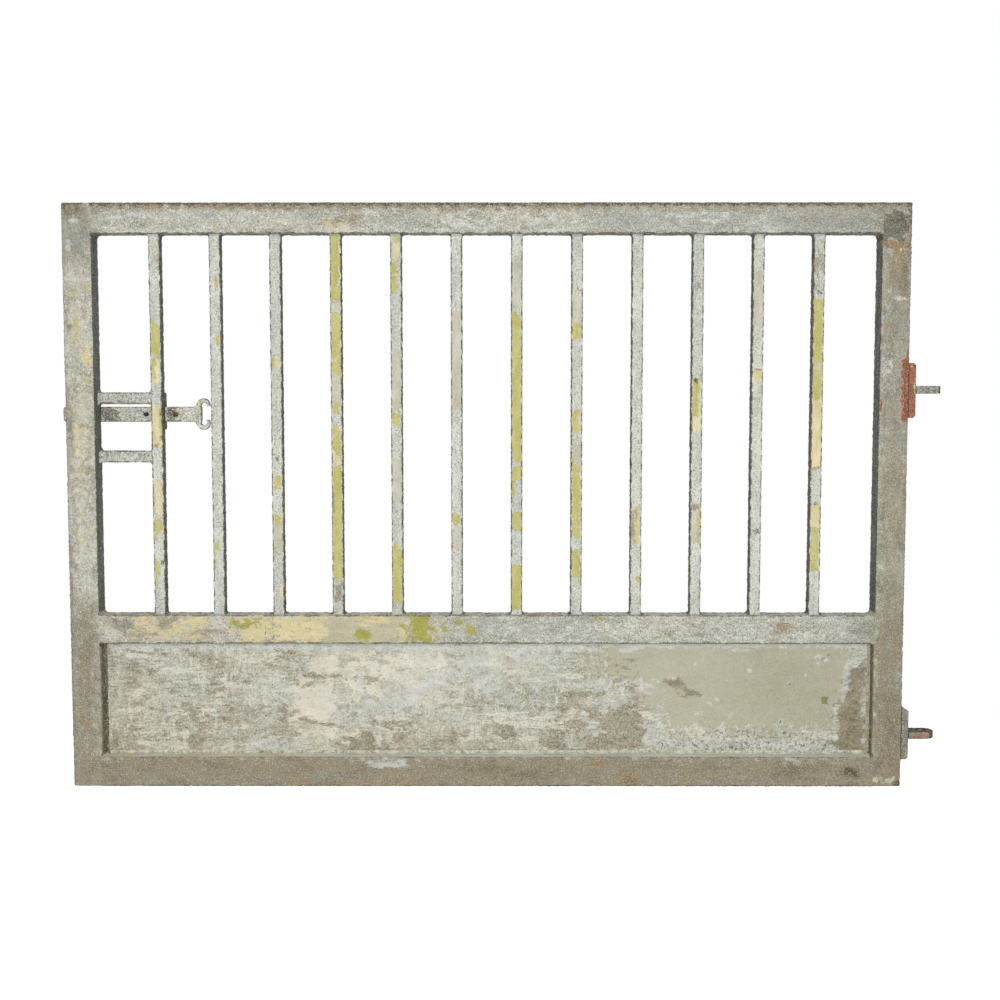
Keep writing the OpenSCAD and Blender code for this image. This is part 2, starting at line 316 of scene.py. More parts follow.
def cut_evenly(piece, axis, spacing):
    """Divides the long edges along an axis into even steps of about a spacing."""
    edges = piece.data.edges
    verts = piece.data.vertices
    longest = max(abs(verts[e.vertices[1]].co[axis] - verts[e.vertices[0]].co[axis]) for e in edges)
    steps = max(1, round(longest / spacing))
    passes = [steps] if steps <= MOST_CUTS else [round(math.sqrt(steps))] * 2
    limit = longest / 2
    work_on(piece)
    bpy.ops.object.mode_set(mode="EDIT")
    for share in passes:
        pick(piece, "EDGE", lambda e: edge_runs_along(e, axis, limit * 0.99))
        bpy.ops.mesh.subdivide(number_cuts=share - 1)
        limit = limit / share
    bpy.ops.object.mode_set(mode="OBJECT")


def cut_at(piece, axis, places):
    """Cuts the whole piece across an axis at each place, without parting it."""
    normal = Vector((0, 0, 0))
    normal[axis] = 1
    work_on(piece)
    bpy.ops.object.mode_set(mode="EDIT")
    bpy.ops.mesh.select_mode(type="FACE")
    for place in places:
        bpy.ops.mesh.select_all(action="SELECT")
        bpy.ops.mesh.bisect(plane_co=normal * place, plane_no=normal)
    bpy.ops.object.mode_set(mode="OBJECT")


print("points closer than", TOUCHING / MM, "mm count as one")

# %% [markdown]
# ## Members with dressed welds
# Each bar and rail was welded at its ends, and the welds were filed into small
# hollows and then coated over. Such a member is a bar whose last few
# millimetres flare out along a quarter circle. It runs on a little into the
# piece that carries it, past that piece's rounded edge, and is cut off square
# there after its own edges are worn, so that no groove shows between the two.

# %% A member with flared ends
SQUARE_TURN = math.radians(60)
BITE = 2.2 * MM
SPARE = 3 * MM
FLARE_CUTS = (0, 0.08, 0.2, 0.5, 1)


def mesh_corners(piece):
    """The lowest and highest corners of a piece's mesh."""
    corners = np.array([v.co for v in piece.data.vertices])
    return Vector(corners.min(0)), Vector(corners.max(0))


def flared_by(distance, radius):
    """How far a filed weld stands out at a distance from the member's end."""
    if radius == 0 or distance >= radius:
        return 0
    left = radius - max(distance, 0)
    return radius - math.sqrt(radius ** 2 - left ** 2)


def flare_end(piece, axis, across, end, inward, distances, flare, front_flare, hold):
    """Widens a member's end along a quarter circle; hold is what stays put across."""
    low, high = mesh_corners(piece)
    width, depth = high[across] - low[across], high.y - low.y
    for distance in (-BITE - SPARE, *distances[:-1]):
        place = end + inward * distance
        sides = 2 if hold is None else 1
        grow = [1, 1, 1]
        grow[across] = 1 + sides * flared_by(distance, flare) / width
        grow[1] = 1 + flared_by(distance, front_flare) / depth
        centre = Vector((0, high.y, 0))
        centre[axis] = place
        centre[across] = (low[across] + high[across]) / 2 if hold is None else hold
        pick(piece, "VERT", lambda v: abs(v.co[axis] - place) < TOUCHING)
        bpy.ops.transform.resize(value=grow, center_override=centre)


def trim_ends(piece, axis, ends):
    """Cuts both ends off square, a bite past where the member seems to end."""
    work_on(piece)
    bpy.ops.object.mode_set(mode="EDIT")
    for end, inward in ends:
        outward = Vector((0, 0, 0))
        outward[axis] = -inward
        spot = Vector((0, 0, 0))
        spot[axis] = end - inward * BITE
        bpy.ops.mesh.select_all(action="SELECT")
        bpy.ops.mesh.bisect(plane_co=spot, plane_no=outward, use_fill=True, clear_outer=True)
    bpy.ops.object.mode_set(mode="OBJECT")


def member(name, low, high, axis, steps, worn, flare, hold=None, front_flare=0):
    """A worn bar along an axis, with flared ends that are cut off square."""
    low, high = Vector(low), Vector(high)
    across = 2 if axis == 0 else 0
    ends = [(low[axis], 1), (high[axis], -1)]
    largest = max(flare, front_flare)
    distances = [share * largest for share in FLARE_CUTS]
    low[axis] -= BITE + SPARE
    high[axis] += BITE + SPARE
    piece = blank(name, low, high)
    cut_at(piece, axis, [end + inward * distance for end, inward in ends for distance in distances])
    work_on(piece)
    bpy.ops.object.mode_set(mode="EDIT")
    for end, inward in ends:
        flare_end(piece, axis, across, end, inward, distances, flare, front_flare, hold)
    bpy.ops.object.mode_set(mode="OBJECT")
    for cut_axis in range(3):
        cut_evenly(piece, cut_axis, steps[cut_axis])
    use_modifier(piece, "BEVEL", width=worn, segments=2, limit_method="ANGLE",
                 angle_limit=SQUARE_TURN)
    trim_ends(piece, axis, ends)
    return piece


print("members run on", round(BITE / MM, 1), "mm into what carries them")

# %% [markdown]
# ## Wear in the shape itself
# Rust, hammering and thick coats leave no edge quite straight. Noises that are
# fixed in space move every surface by a fraction of a millimetre, so pieces that
# meet still meet. What then stands out past the frame's own box is pressed back
# to it, so that nothing grows past its real size.

# %% Pit and dent a piece
SMOOTH_TURN = math.radians(40)
LUMPS = bpy.data.textures.new("lumps", "CLOUDS")
LUMPS.noise_scale = 6 * MM
LUMPS.noise_depth = 2
GRIT = bpy.data.textures.new("grit", "CLOUDS")
GRIT.noise_scale = 2.4 * MM
GRIT.noise_depth = 1
DENTS = bpy.data.textures.new("dents", "CLOUDS")
DENTS.noise_scale = 60 * MM
DENTS.noise_depth = 1


def weather(piece, lumps=1.5 * MM, dents=0.4 * MM, grit=1.7 * MM, level=0.55):
    """Moves the surface in and out by three noises, then shades it smooth.

    The level is the part of a noise that leaves the surface where it is.
    """
    for texture, depth in ((LUMPS, lumps), (DENTS, dents), (GRIT, grit)):
        use_modifier(piece, "DISPLACE", texture=texture, strength=depth, mid_level=level,
                     texture_coords="LOCAL", direction="NORMAL")
    for vertex in piece.data.vertices:
        for axis in range(3):
            vertex.co[axis] = min(max(vertex.co[axis], cad_box[0][axis]), cad_box[1][axis])
    work_on(piece)
    bpy.ops.object.shade_smooth_by_angle(angle=SMOOTH_TURN)


print("noises", [texture.name for texture in (LUMPS, DENTS, GRIT)])

# %% [markdown]
# ## Stiles and rails
# The two stiles run the full height, and the three rails stand between them.
# The outer corners of the leaf were knocked round.

# %% Make the stiles
RAIL_STEPS = (2.4 * MM, 4.8 * MM, 4 * MM)
STILE_STEPS = (4 * MM, 4.8 * MM, 2.4 * MM)
CORNER_ROUND = 3 * MM
FRAME_WORN = 2 * MM


def stile(node, outer_x):
    """An upright of the frame with its two outer corners rounded."""
    low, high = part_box(node)
    piece = blank(node + "_worn", low, high)
    work_on(piece)
    bpy.ops.object.mode_set(mode="EDIT")
    pick(piece, "EDGE",
         lambda e: edge_runs_along(e, 1, 0) and abs(e.verts[0].co.x - outer_x) < TOUCHING)
    bpy.ops.mesh.bevel(offset=CORNER_ROUND, segments=3)
    bpy.ops.object.mode_set(mode="OBJECT")
    for axis in range(3):
        cut_evenly(piece, axis, STILE_STEPS[axis])
    return piece


latch_stile = stile("latch_stile", leaf_left)
hinge_stile = stile("hinge_stile", leaf_right)
for piece in (latch_stile, hinge_stile):
    use_modifier(piece, "BEVEL", width=FRAME_WORN, segments=2, limit_method="ANGLE",
                 angle_limit=SQUARE_TURN)
    weather(piece)
print("stile faces", len(latch_stile.data.polygons), len(hinge_stile.data.polygons))

# %% [markdown]
# A rail is a member that flares into the stiles at both ends. The top and bottom
# rails flare on their inner side alone, so that the leaf's outline stays straight.

# %% Make the rails
CORNER_FLARE = 6 * MM


def rail(node, hold):
    """A rail between the stiles, flared into them on its open sides."""
    low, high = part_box(node)
    piece = member(node + "_worn", low, high, 0, RAIL_STEPS, FRAME_WORN, CORNER_FLARE, hold)
    weather(piece)
    return piece


top_rail = rail("top_rail", head)
mid_rail = rail("mid_rail", None)
bottom_rail = rail("bottom_rail", foot)
print("rail faces", [len(piece.data.polygons) for piece in (top_rail, mid_rail, bottom_rail)])

# %% [markdown]
# ## Bars
# All twelve bars are the same square bar, half as deep as the frame and flush
# with its back, so that a ledge of each rail shows in front of them. The welds
# at their feet and heads reach further out on that ledge than at the sides. One
# bar is made, and the others are copies of it.

# %% Make the bars
BAR_STEPS = (3.2 * MM, 4 * MM, 2 * MM)
CROSSBAR_STEPS = (2 * MM, 4 * MM, 3.2 * MM)
BAR_FLARE = 4.5 * MM
BAR_FRONT_FLARE = 6 * MM
BAR_WORN = 2 * MM
first_low, first_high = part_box(bar_names[0])
pattern_bar = member("bar_pattern", first_low, first_high, 2, BAR_STEPS, BAR_WORN, BAR_FLARE,
                     front_flare=BAR_FRONT_FLARE)
bars = []
for name in bar_names:
    work_on(pattern_bar)
    bpy.ops.object.duplicate(linked=False)
    copy = bpy.context.object
    copy.name = name + "_worn"
    bpy.ops.transform.translate(value=(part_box(name)[0].x - first_low.x, 0, 0))
    bpy.ops.object.transform_apply(location=True, rotation=True, scale=True)
    weather(copy)
    bars.append(copy)
bpy.data.objects.remove(pattern_bar)
print("bars", len(bars), "with", len(bars[0].data.polygons), "faces each")

# %% [markdown]
# Two short crossbars tie the first bar to the latch stile, one above and one
# below the bolt. They are cut from the same stock and lie level.

# %% Make the two crossbars
crossbars = []
for node in ("latch_crossbar_upper", "latch_crossbar_lower"):
    low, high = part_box(node)
    piece = member(node + "_worn", low, high, 0, CROSSBAR_STEPS, BAR_WORN, BAR_FLARE)
    weather(piece)
    crossbars.append(piece)
print("crossbar faces", [len(piece.data.polygons) for piece in crossbars])

# %% [markdown]
# ## Kick panel
# The sheet was never quite flat. A fine grid is bulged gently by a wide noise
# and then given its thickness.

# %% Make the kick panel
low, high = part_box("kick_panel")
across, up = high.x - low.x, high.z - low.z
SHEET_STEP = 3 * MM
bpy.ops.object.select_all(action="DESELECT")
bpy.ops.mesh.primitive_grid_add(x_subdivisions=round(across / SHEET_STEP),
                                y_subdivisions=round(up / SHEET_STEP), size=1,
                                location=(low + high) / 2, rotation=(math.radians(90), 0, 0))
kick_panel = bpy.context.object
kick_panel.name = "kick_panel_sheet"
kick_panel.scale = (across, up, 1)
bpy.ops.object.transform_apply(location=True, rotation=True, scale=True)
BULGES = bpy.data.textures.new("bulges", "CLOUDS")
BULGES.noise_scale = 160 * MM
use_modifier(kick_panel, "DISPLACE", texture=BULGES, strength=1.2 * MM, mid_level=0.5,
             texture_coords="LOCAL", direction="Y")
use_modifier(kick_panel, "DISPLACE", texture=LUMPS, strength=0.3 * MM, mid_level=0.5,
             texture_coords="LOCAL", direction="Y")
use_modifier(kick_panel, "SOLIDIFY", thickness=high.y - low.y, offset=0)
work_on(kick_panel)
bpy.ops.object.shade_smooth_by_angle(angle=SMOOTH_TURN)
print("panel faces", len(kick_panel.data.polygons))

# %% [markdown]
# ## Pieces dressed from the frame
# The bolt, its guides, the hinge pads, the lugs and the bead round the panel
# already have their true outlines in the frame. A copy of each is merged into
# one shell, cut fine enough to take wear, and gets worn edges.

# %% Dress a copy of a frame piece
FITTING_LEVEL = 0.85
FLAT_TURN = math.radians(1)


def dressed(node, suffix, worn, steps, lumps=0.4 * MM, dents=0.2 * MM, grit=0.3 * MM):
    """A worn copy of a frame piece, cut across each axis at even steps."""
    piece = bpy.data.objects.new(node + suffix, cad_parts[node].data.copy())
    scene.collection.objects.link(piece)
    work_on(piece)
    bpy.ops.object.mode_set(mode="EDIT")
    bpy.ops.mesh.select_all(action="SELECT")
    bpy.ops.mesh.remove_doubles(threshold=TOUCHING)
    bpy.ops.mesh.dissolve_limited(angle_limit=FLAT_TURN)
    bpy.ops.object.mode_set(mode="OBJECT")
    if worn:
        use_modifier(piece, "BEVEL", width=worn, segments=2, limit_method="ANGLE",
                     angle_limit=SQUARE_TURN)
    low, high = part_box(node)
    for axis in range(3):
        if steps[axis]:
            count = round((high[axis] - low[axis]) / steps[axis])
            cut_at(piece, axis, [low[axis] + (i + 0.5) * (high[axis] - low[axis]) / count
                                 for i in range(count)])
    weather(piece, lumps, dents, grit, FITTING_LEVEL)
    return piece


bolt = dressed("slide_bolt", "_worn", 1.6 * MM, (3 * MM, 0, 3 * MM), 0.2 * MM, 0.1 * MM, 0.1 * MM)
guide = dressed("bolt_guide", "_worn", 1.2 * MM, (4 * MM, 4 * MM, 3 * MM), 0.3 * MM, 0.1 * MM, 0.2 * MM)
stops = [dressed(node, "_worn", 1.0 * MM, (2 * MM, 2 * MM, 2 * MM), 0.5 * MM)
         for node in ("bolt_stop_outer", "bolt_stop_inner")]
pads = [dressed(node, "_worn", 1.6 * MM, (4 * MM, 5 * MM, 4 * MM), 0.6 * MM)
        for node in ("hinge_pad_upper", "hinge_pad_lower")]
lugs = [dressed(node, "_worn", 2.6 * MM, (4 * MM, 4 * MM, 3.4 * MM), 0.6 * MM)
        for node in ("hinge_lug_upper", "hinge_lug_lower")]
panel_bead = dressed("kick_panel_weld", "_worn", 0, (6 * MM, 0, 6 * MM), 1.6 * MM, 0.6 * MM)
print("bolt", len(bolt.data.polygons), "pads", len(pads[0].data.polygons),
      "bead", len(panel_bead.data.polygons))

# %% [markdown]
# ## Old paint, laid on one by one
# What is left of each coat was settled by weather and by hands, so no formula
# gives it. Each patch is written down as a rectangle on the leaf: which coat,
# from where to where across the leaf and above its foot, in millimetres, and how
# much of it survives. The patches are stored on the points of each mesh, and the
# finish breaks up their edges later. Three coats share one colour attribute, so
# every attribute is full. A face is a side, and gets the side tone, a painted
# shade, when less than the facing share of its normal points to the front or the
# back. A side that looks down gets the darker under tone, painted shade as well.

# %% Store coats on a mesh
CHANNELS = {"coats": ("lime", "cream", "putty"),
            "grime_and_shade": ("stain", "rust", "soot_and_shade"),
            "marks": ("bloom_and_highlight", "primer", "side"),
            "tints": ("dull", "brown", "under"),
            "airs": ("cool",)}
FACING = 0.95
FACING_FADE = 0.25
LEDGE_SHADE = 0.16
ONE_TURN = 6.283


def wander(x, up, reach):
    """How far the edge of an old patch strays from a straight line, in millimetres."""
    waves = ((61, 23, 0.4), (37, -52, 1.9), (17, 29, 3.1), (-13, 19, 5.0), (11, 7, 2.2))
    stray = sum(math.sqrt(abs(across)) / 8 * np.sin(ONE_TURN * (x / across + up / rise) + phase)
                for across, rise, phase in waves)
    return reach * stray


class Coats:
    """The coats on one piece's points, as amounts from none to all.

    Faces that look neither to the front nor to the back get the side tone, a
    painted shade, and those that also look down get the under tone, a darker
    painted shade, but upward ledges get little of it. A member's own axis is left
    out of that, so its cut ends and filed welds keep the tone of its face.
    """

    def __init__(self, piece, along=None):
        """Reads the piece's points and finds its sides; along is a member's axis."""
        self.piece = piece
        count = len(piece.data.vertices)
        places = np.zeros(count * 3)
        piece.data.vertices.foreach_get("co", places)
        self.places = places.reshape(-1, 3)
        normals = np.zeros(count * 3)
        piece.data.vertex_normals.foreach_get("vector", normals)
        self.normals = normals.reshape(-1, 3)
        self.amounts = {coat: np.zeros(count) for three in CHANNELS.values() for coat in three}
        facing = self.normals.copy()
        if along is not None:
            facing[:, along] = 0
        facing /= np.maximum(np.linalg.norm(facing, axis=1), 1e-6)[:, None]
        # The side and under amounts are painted shade, set by how far a face turns from the front.
        side = np.clip((FACING - np.abs(facing[:, 1])) / FACING_FADE, 0, 1)
        self.amounts["side"] = side * np.where(facing[:, 2] > 0.5, LEDGE_SHADE, 1.0)
        self.amounts["under"] = side * np.clip((-facing[:, 2] - 0.3) / 0.4, 0, 1)

    def dab(self, coat, x_from, x_to, up_from, up_to, left_over=1.0, soft=8, lean=0):
        """Lays a patch of a coat, in millimetres from the leaf's left edge and foot.

        The edges fade over the soft distance, across at most a third of the patch,
        and lean is how far the patch rises from its left side to its right.
        """
        x = (self.places[:, 0] - leaf_left) / MM
        up = (self.places[:, 2] - foot) / MM
        up = up - lean * ((x - x_from) / (x_to - x_from) - 0.5)
        reach = min(x_to - x_from, up_to - up_from, 60) / 12
        x, up = x + wander(x, up, reach), up + wander(up, x, reach)
        soft_x = min(soft, (x_to - x_from) / 3)
        soft_up = min(soft, (up_to - up_from) / 3)
        inside_x = np.minimum(x - x_from, x_to - x) / (2 * soft_x)
        inside_up = np.minimum(up - up_from, up_to - up) / (2 * soft_up)
        amount = np.clip(0.5 + np.minimum(inside_x, inside_up), 0, 1) * left_over
        self.amounts[coat] = np.maximum(self.amounts[coat], amount)

    def store(self):
        """Writes the amounts into the mesh, three to an attribute."""
        mesh = self.piece.data
        for name, three in CHANNELS.items():
            attribute = mesh.attributes.new(name, "FLOAT_COLOR", "POINT")
            packed = np.ones((len(mesh.vertices), 4))
            for i, coat in enumerate(three):
                packed[:, i] = self.amounts[coat]
            attribute.data.foreach_set("color", packed.ravel())


print("coats", [coat for three in CHANNELS.values() for coat in three])

# %% [markdown]
# Edges wear most. Along a member's two long edges the paint is gone, and a dark
# line is laid there that is partly soot and partly painted shade, where the
# rounded edge turns from the light. On a small fitting painted shade and soot run
# round every edge that turns from the front, and on a bar the paint thins towards
# both sides. Each of these three is a function of its own. A line starts a little
# way in from the edge and wanders, and soot is less than the dark it marks.

# %% Wear the coats along the edges, and paint shade there
LINE_LOSS = 0.8
LINE_START = 0.3
LINE_WANDER = 0.35
SOOT_AND_SHADE_LESS = 0.35
TURNED_FROM, TURNED_OVER = 0.96, 0.08
OUTLINE_SOOT_AND_SHADE = 0.75
SIDE_LOSS = 0.14
SIDE_FROM = 0.55


def darken(coats, coat, amount):
    """Brings a dark coat up to an amount, and never down."""
    coats.amounts[coat] = np.maximum(coats.amounts[coat], amount)


def line_edges(coats, node, across, low_amount, high_amount, wide=2.6):
    """Paints shade and soot along the two long edges of a member, where paint is gone."""
    low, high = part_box(node)
    from_low = (coats.places[:, across] - low[across]) / MM
    from_high = (high[across] - coats.places[:, across]) / MM
    line = np.maximum(np.clip(1 - (from_low - LINE_START) / wide, 0, 1) * low_amount,
                      np.clip(1 - (from_high - LINE_START) / wide, 0, 1) * high_amount)
    uneven = 0.9 + wander(coats.places[:, 0] / MM, coats.places[:, 2] / MM, LINE_WANDER)
    line = line * np.clip(uneven, 0, 1)
    for coat in ("lime", "cream", "putty", "bloom_and_highlight"):
        coats.amounts[coat] *= 1 - LINE_LOSS * line
    darken(coats, "side", line)
    darken(coats, "soot_and_shade", line - SOOT_AND_SHADE_LESS)


def outline(coats):
    """Paints shade on every worn edge that turns from the front, up or down, with some soot where
    grease and dirt stay.
    """
    facing = np.abs(coats.normals[:, 1])
    turned = np.clip((TURNED_FROM - facing) / TURNED_OVER, 0, 1)
    darken(coats, "side", turned)
    darken(coats, "soot_and_shade", turned * np.clip(0.45 + facing, 0, 1) * OUTLINE_SOOT_AND_SHADE)


def wear_sides(coats, middle, half):
    """Thins the bright coats towards the left and right edges of a bar."""
    share = np.abs((coats.places[:, 0] - leaf_left) / MM - middle) / half
    worn = np.clip((share - SIDE_FROM) / (1 - SIDE_FROM), 0, 1) * SIDE_LOSS
    for coat in ("lime", "cream"):
        coats.amounts[coat] = np.clip(coats.amounts[coat] - worn, 0, 1)


print("a worn edge loses", LINE_LOSS, "of its paint, and a bar's side", SIDE_LOSS)

# %% [markdown]
# The bars' patches are sorted by the bar's number and the coat. Each is given by
# the two heights, then the left and right shares of the bar's width, from -1 to
# 1, then how much is left, and last how far the patch leans, if it does.

# %% List the paint left on the bars
BAR_PATCHES = {
    1: {"rust": [(884, 896, 0.2, 1.2, 0.8), (572, 584, -0.7, 0.7, 0.62)],
        "lime": [(727, 784, -0.9, 1, 0.95, -22), (690, 727, -1, 0, 0.7), (585, 644, 0.4, 1.2, 0.8),
                 (429, 453, -1, 0.7, 0.9), (415, 432, -1.2, -0.3, 0.8), (335, 389, -1.3, -0.3, 0.85),
                 (362, 382, -1.2, 0.2, 0.9)],
        "cream": [(681, 727, -1, 0.8, 0.9), (576, 644, -1.2, 0.9, 1), (459, 519, -0.8, 0.8, 0.75)],
        "soot_and_shade": [(596, 662, 0.84, 2.2, 1), (560, 600, 0.86, 2.2, 0.7), (375, 384, 0.2, 0.9, 0.7)],
        "bloom_and_highlight": [(361, 371, 0.2, 0.9, 0.8)]},
    2: {"lime": [(839, 864, -0.4, 1, 0.55), (744, 763, 0, 1.1, 0.85), (400, 415, -1.1, 0.2, 0.85),
                 (362, 403, -1.4, -0.5, 0.8)]},
    3: {"cream": [(706, 726, -0.8, 1, 0.9), (316, 346, 0.1, 1, 0.8)],
        "lime": [(704, 728, -1.2, -0.3, 0.85), (506, 526, -0.7, 0.8, 0.95),
                 (443, 461, -1, 0.6, 0.95, -12), (388, 407, -1.3, -0.4, 0.85)],
        "soot_and_shade": [(551, 562, -0.4, 0.5, 0.7)],
        "putty": [(398, 446, -1.2, 1.2, 0.95)]},
    4: {"lime": [(818, 928, -1.3, 0.65, 1, 12), (697, 801, -1, 1.1, 1), (650, 700, 0.6, 1.4, 0.8),
                 (631, 653, -0.7, 0.8, 0.85), (563, 612, -0.9, 0.8, 0.9, -20), (350, 544, -0.85, 1, 1)],
        "putty": [(798, 820, -0.6, 1.2, 0.9), (652, 697, -1.2, 1.2, 0.85)],
        "bloom_and_highlight": [(722, 731, -0.6, 0.9, 0.7, 12)],
        "cream": [(543, 565, -0.6, 1, 0.8)],
        "stain": [(466, 504, -1.3, -0.5, 0.9), (314, 344, -0.6, 0.8, 0.75)]},
    5: {"lime": [(917, 926, -0.8, 0.9, 0.85), (867, 884, -1.2, 0.2, 0.95), (833, 862, -1.2, 0.1, 0.95),
                 (613, 635, -0.9, 0.7, 0.95), (312, 403, -1.2, 1.1, 1), (398, 413, -1.2, 0.1, 0.95)],
        "cream": [(885, 918, -0.9, 0.9, 0.75), (858, 870, -0.7, 0.5, 0.75)],
        "putty": [(636, 742, -1.3, 1.3, 0.98), (484, 558, -1.3, 1.3, 0.95)]},
    6: {"putty": [(637, 804, -1.3, 1.4, 1), (399, 440, -1.2, 1.2, 0.9)],
        "lime": [(640, 868, -1.6, -0.85, 0.75), (440, 468, -0.9, 0.5, 0.95, -14)]},
    7: {"putty": [(808, 898, -1.2, 1.2, 0.85), (330, 351, -1.2, 0.2, 0.9)],
        "lime": [(549, 799, -1.1, 0.95, 1, -14), (521, 545, -1, 1, 0.95), (493, 524, -1.3, -0.3, 0.85),
                 (434, 468, -1.2, 1.2, 1), (300, 377, -1.2, 1.2, 1)],
        "cream": [(688, 699, 0.1, 1, 0.85)],
        "bloom_and_highlight": [(543, 550, -1, 1, 0.75), (376, 434, -0.9, 1, 0.62)]},
    8: {"rust": [(836, 842, -0.2, 0.9, 0.7)],
        "putty": [(783, 832, -1.2, 1.2, 0.9), (601, 640, -0.2, 1.1, 0.85), (545, 582, -1, 1.1, 0.9)],
        "lime": [(758, 784, -1, 1, 0.92), (601, 640, -1.2, 0.4, 0.9), (545, 560, -1.2, -0.3, 0.8),
                 (423, 546, -1, 0.75, 0.98), (354, 399, -1, 0.9, 0.9), (338, 356, 0.5, 1.2, 0.8)],
        "bloom_and_highlight": [(766, 777, 0.1, 0.9, 0.7)],
        "cream": [(362, 392, -0.4, 0.7, 0.66)]},
    9: {"cream": [(414, 478, -0.9, 1, 0.75)],
        "stain": [(414, 478, -1, 1, 0.5)],
        "lime": [(345, 356, 0, 1.1, 0.85)]},
    10: {"stain": [(839, 850, -0.8, 0.6, 0.7), (470, 480, -0.8, 0.8, 0.75)],
         "lime": [(627, 692, -1.1, 0.35, 0.85), (600, 628, -1.4, -0.8, 0.8), (414, 472, 0.3, 1.2, 0.85),
                  (314, 331, 0.4, 1.2, 0.8)],
         "cream": [(640, 690, -0.2, 0.7, 0.8), (600, 640, -1.1, 1.1, 0.85)],
         "soot_and_shade": [(680, 694, -0.8, 0.3, 0.66)],
         "putty": [(414, 472, -1.2, 1, 0.8)]},
    11: {"putty": [(776, 869, -1.3, 1.3, 0.85)],
         "rust": [(704, 709, -1, 1, 0.75)],
         "cream": [(684, 704, -1, 1, 0.85)],
         "soot_and_shade": [(427, 438, -0.6, 0.8, 0.66)]},
    12: {"rust": [(876, 888, -1.3, -0.3, 0.8), (537, 543, -1, 1, 0.75)],
         "soot_and_shade": [(831, 839, -0.5, 0.7, 0.7)],
         "stain": [(838, 925, -1.1, 1.1, 0.42), (477, 484, -1, 1, 0.8)],
         "lime": [(778, 825, -1, 1, 0.95), (655, 792, -1.1, 0.9, 0.92), (545, 700, 0.75, 1.4, 0.8),
                  (365, 440, -1, 0.8, 0.85)],
         "cream": [(660, 826, -1.2, 1.2, 1), (540, 720, -0.5, 1.2, 1), (541, 660, -1.2, 1.2, 1),
                   (434, 480, -1, 1.1, 0.95)],
         "bloom_and_highlight": [(690, 720, -0.6, 0.6, 0.5)]},
}
print("bars with patches:", len(BAR_PATCHES))

# %% [markdown]
# A bar's shares become millimetres on the leaf once its own box is known. Each bar
# is coated first and then worn along its sides and edges.

# %% Coat the bars
BAR_LINE_WIDTH = 3.4
BAR_PATCH_SOFT = 5


def count_rows(patches):
    """How many patches there are in a table that is sorted by piece and coat."""
    return sum(len(rows) for coats in patches.values() for rows in coats.values())


def coat_bar(piece, number):
    """Lays on a bar what is left of its paint, and wears it along the edges."""
    coats = Coats(piece, along=2)
    low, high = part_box(bar_names[number - 1])
    middle = ((low.x + high.x) / 2 - leaf_left) / MM
    half = (high.x - low.x) / 2 / MM
    for coat, rows in BAR_PATCHES[number].items():
        for up_from, up_to, left, right, left_over, *lean in rows:
            coats.dab(coat, middle + left * half, middle + right * half, up_from, up_to,
                      left_over, BAR_PATCH_SOFT, *lean)
    wear_sides(coats, middle, half)
    line_edges(coats, bar_names[number - 1], 0, 1.0, 1.0, BAR_LINE_WIDTH)
    coats.store()


for number, piece in enumerate(bars, start=1):
    coat_bar(piece, number)
print("patches on the bars:", count_rows(BAR_PATCHES))

# %% [markdown]
# The frame and the panel have patches of their own, sorted by piece and coat. The
# numbers are from where to where across and up, in millimetres, how much is left,
# how soft the edge is in millimetres, and last the lean, if there is one.

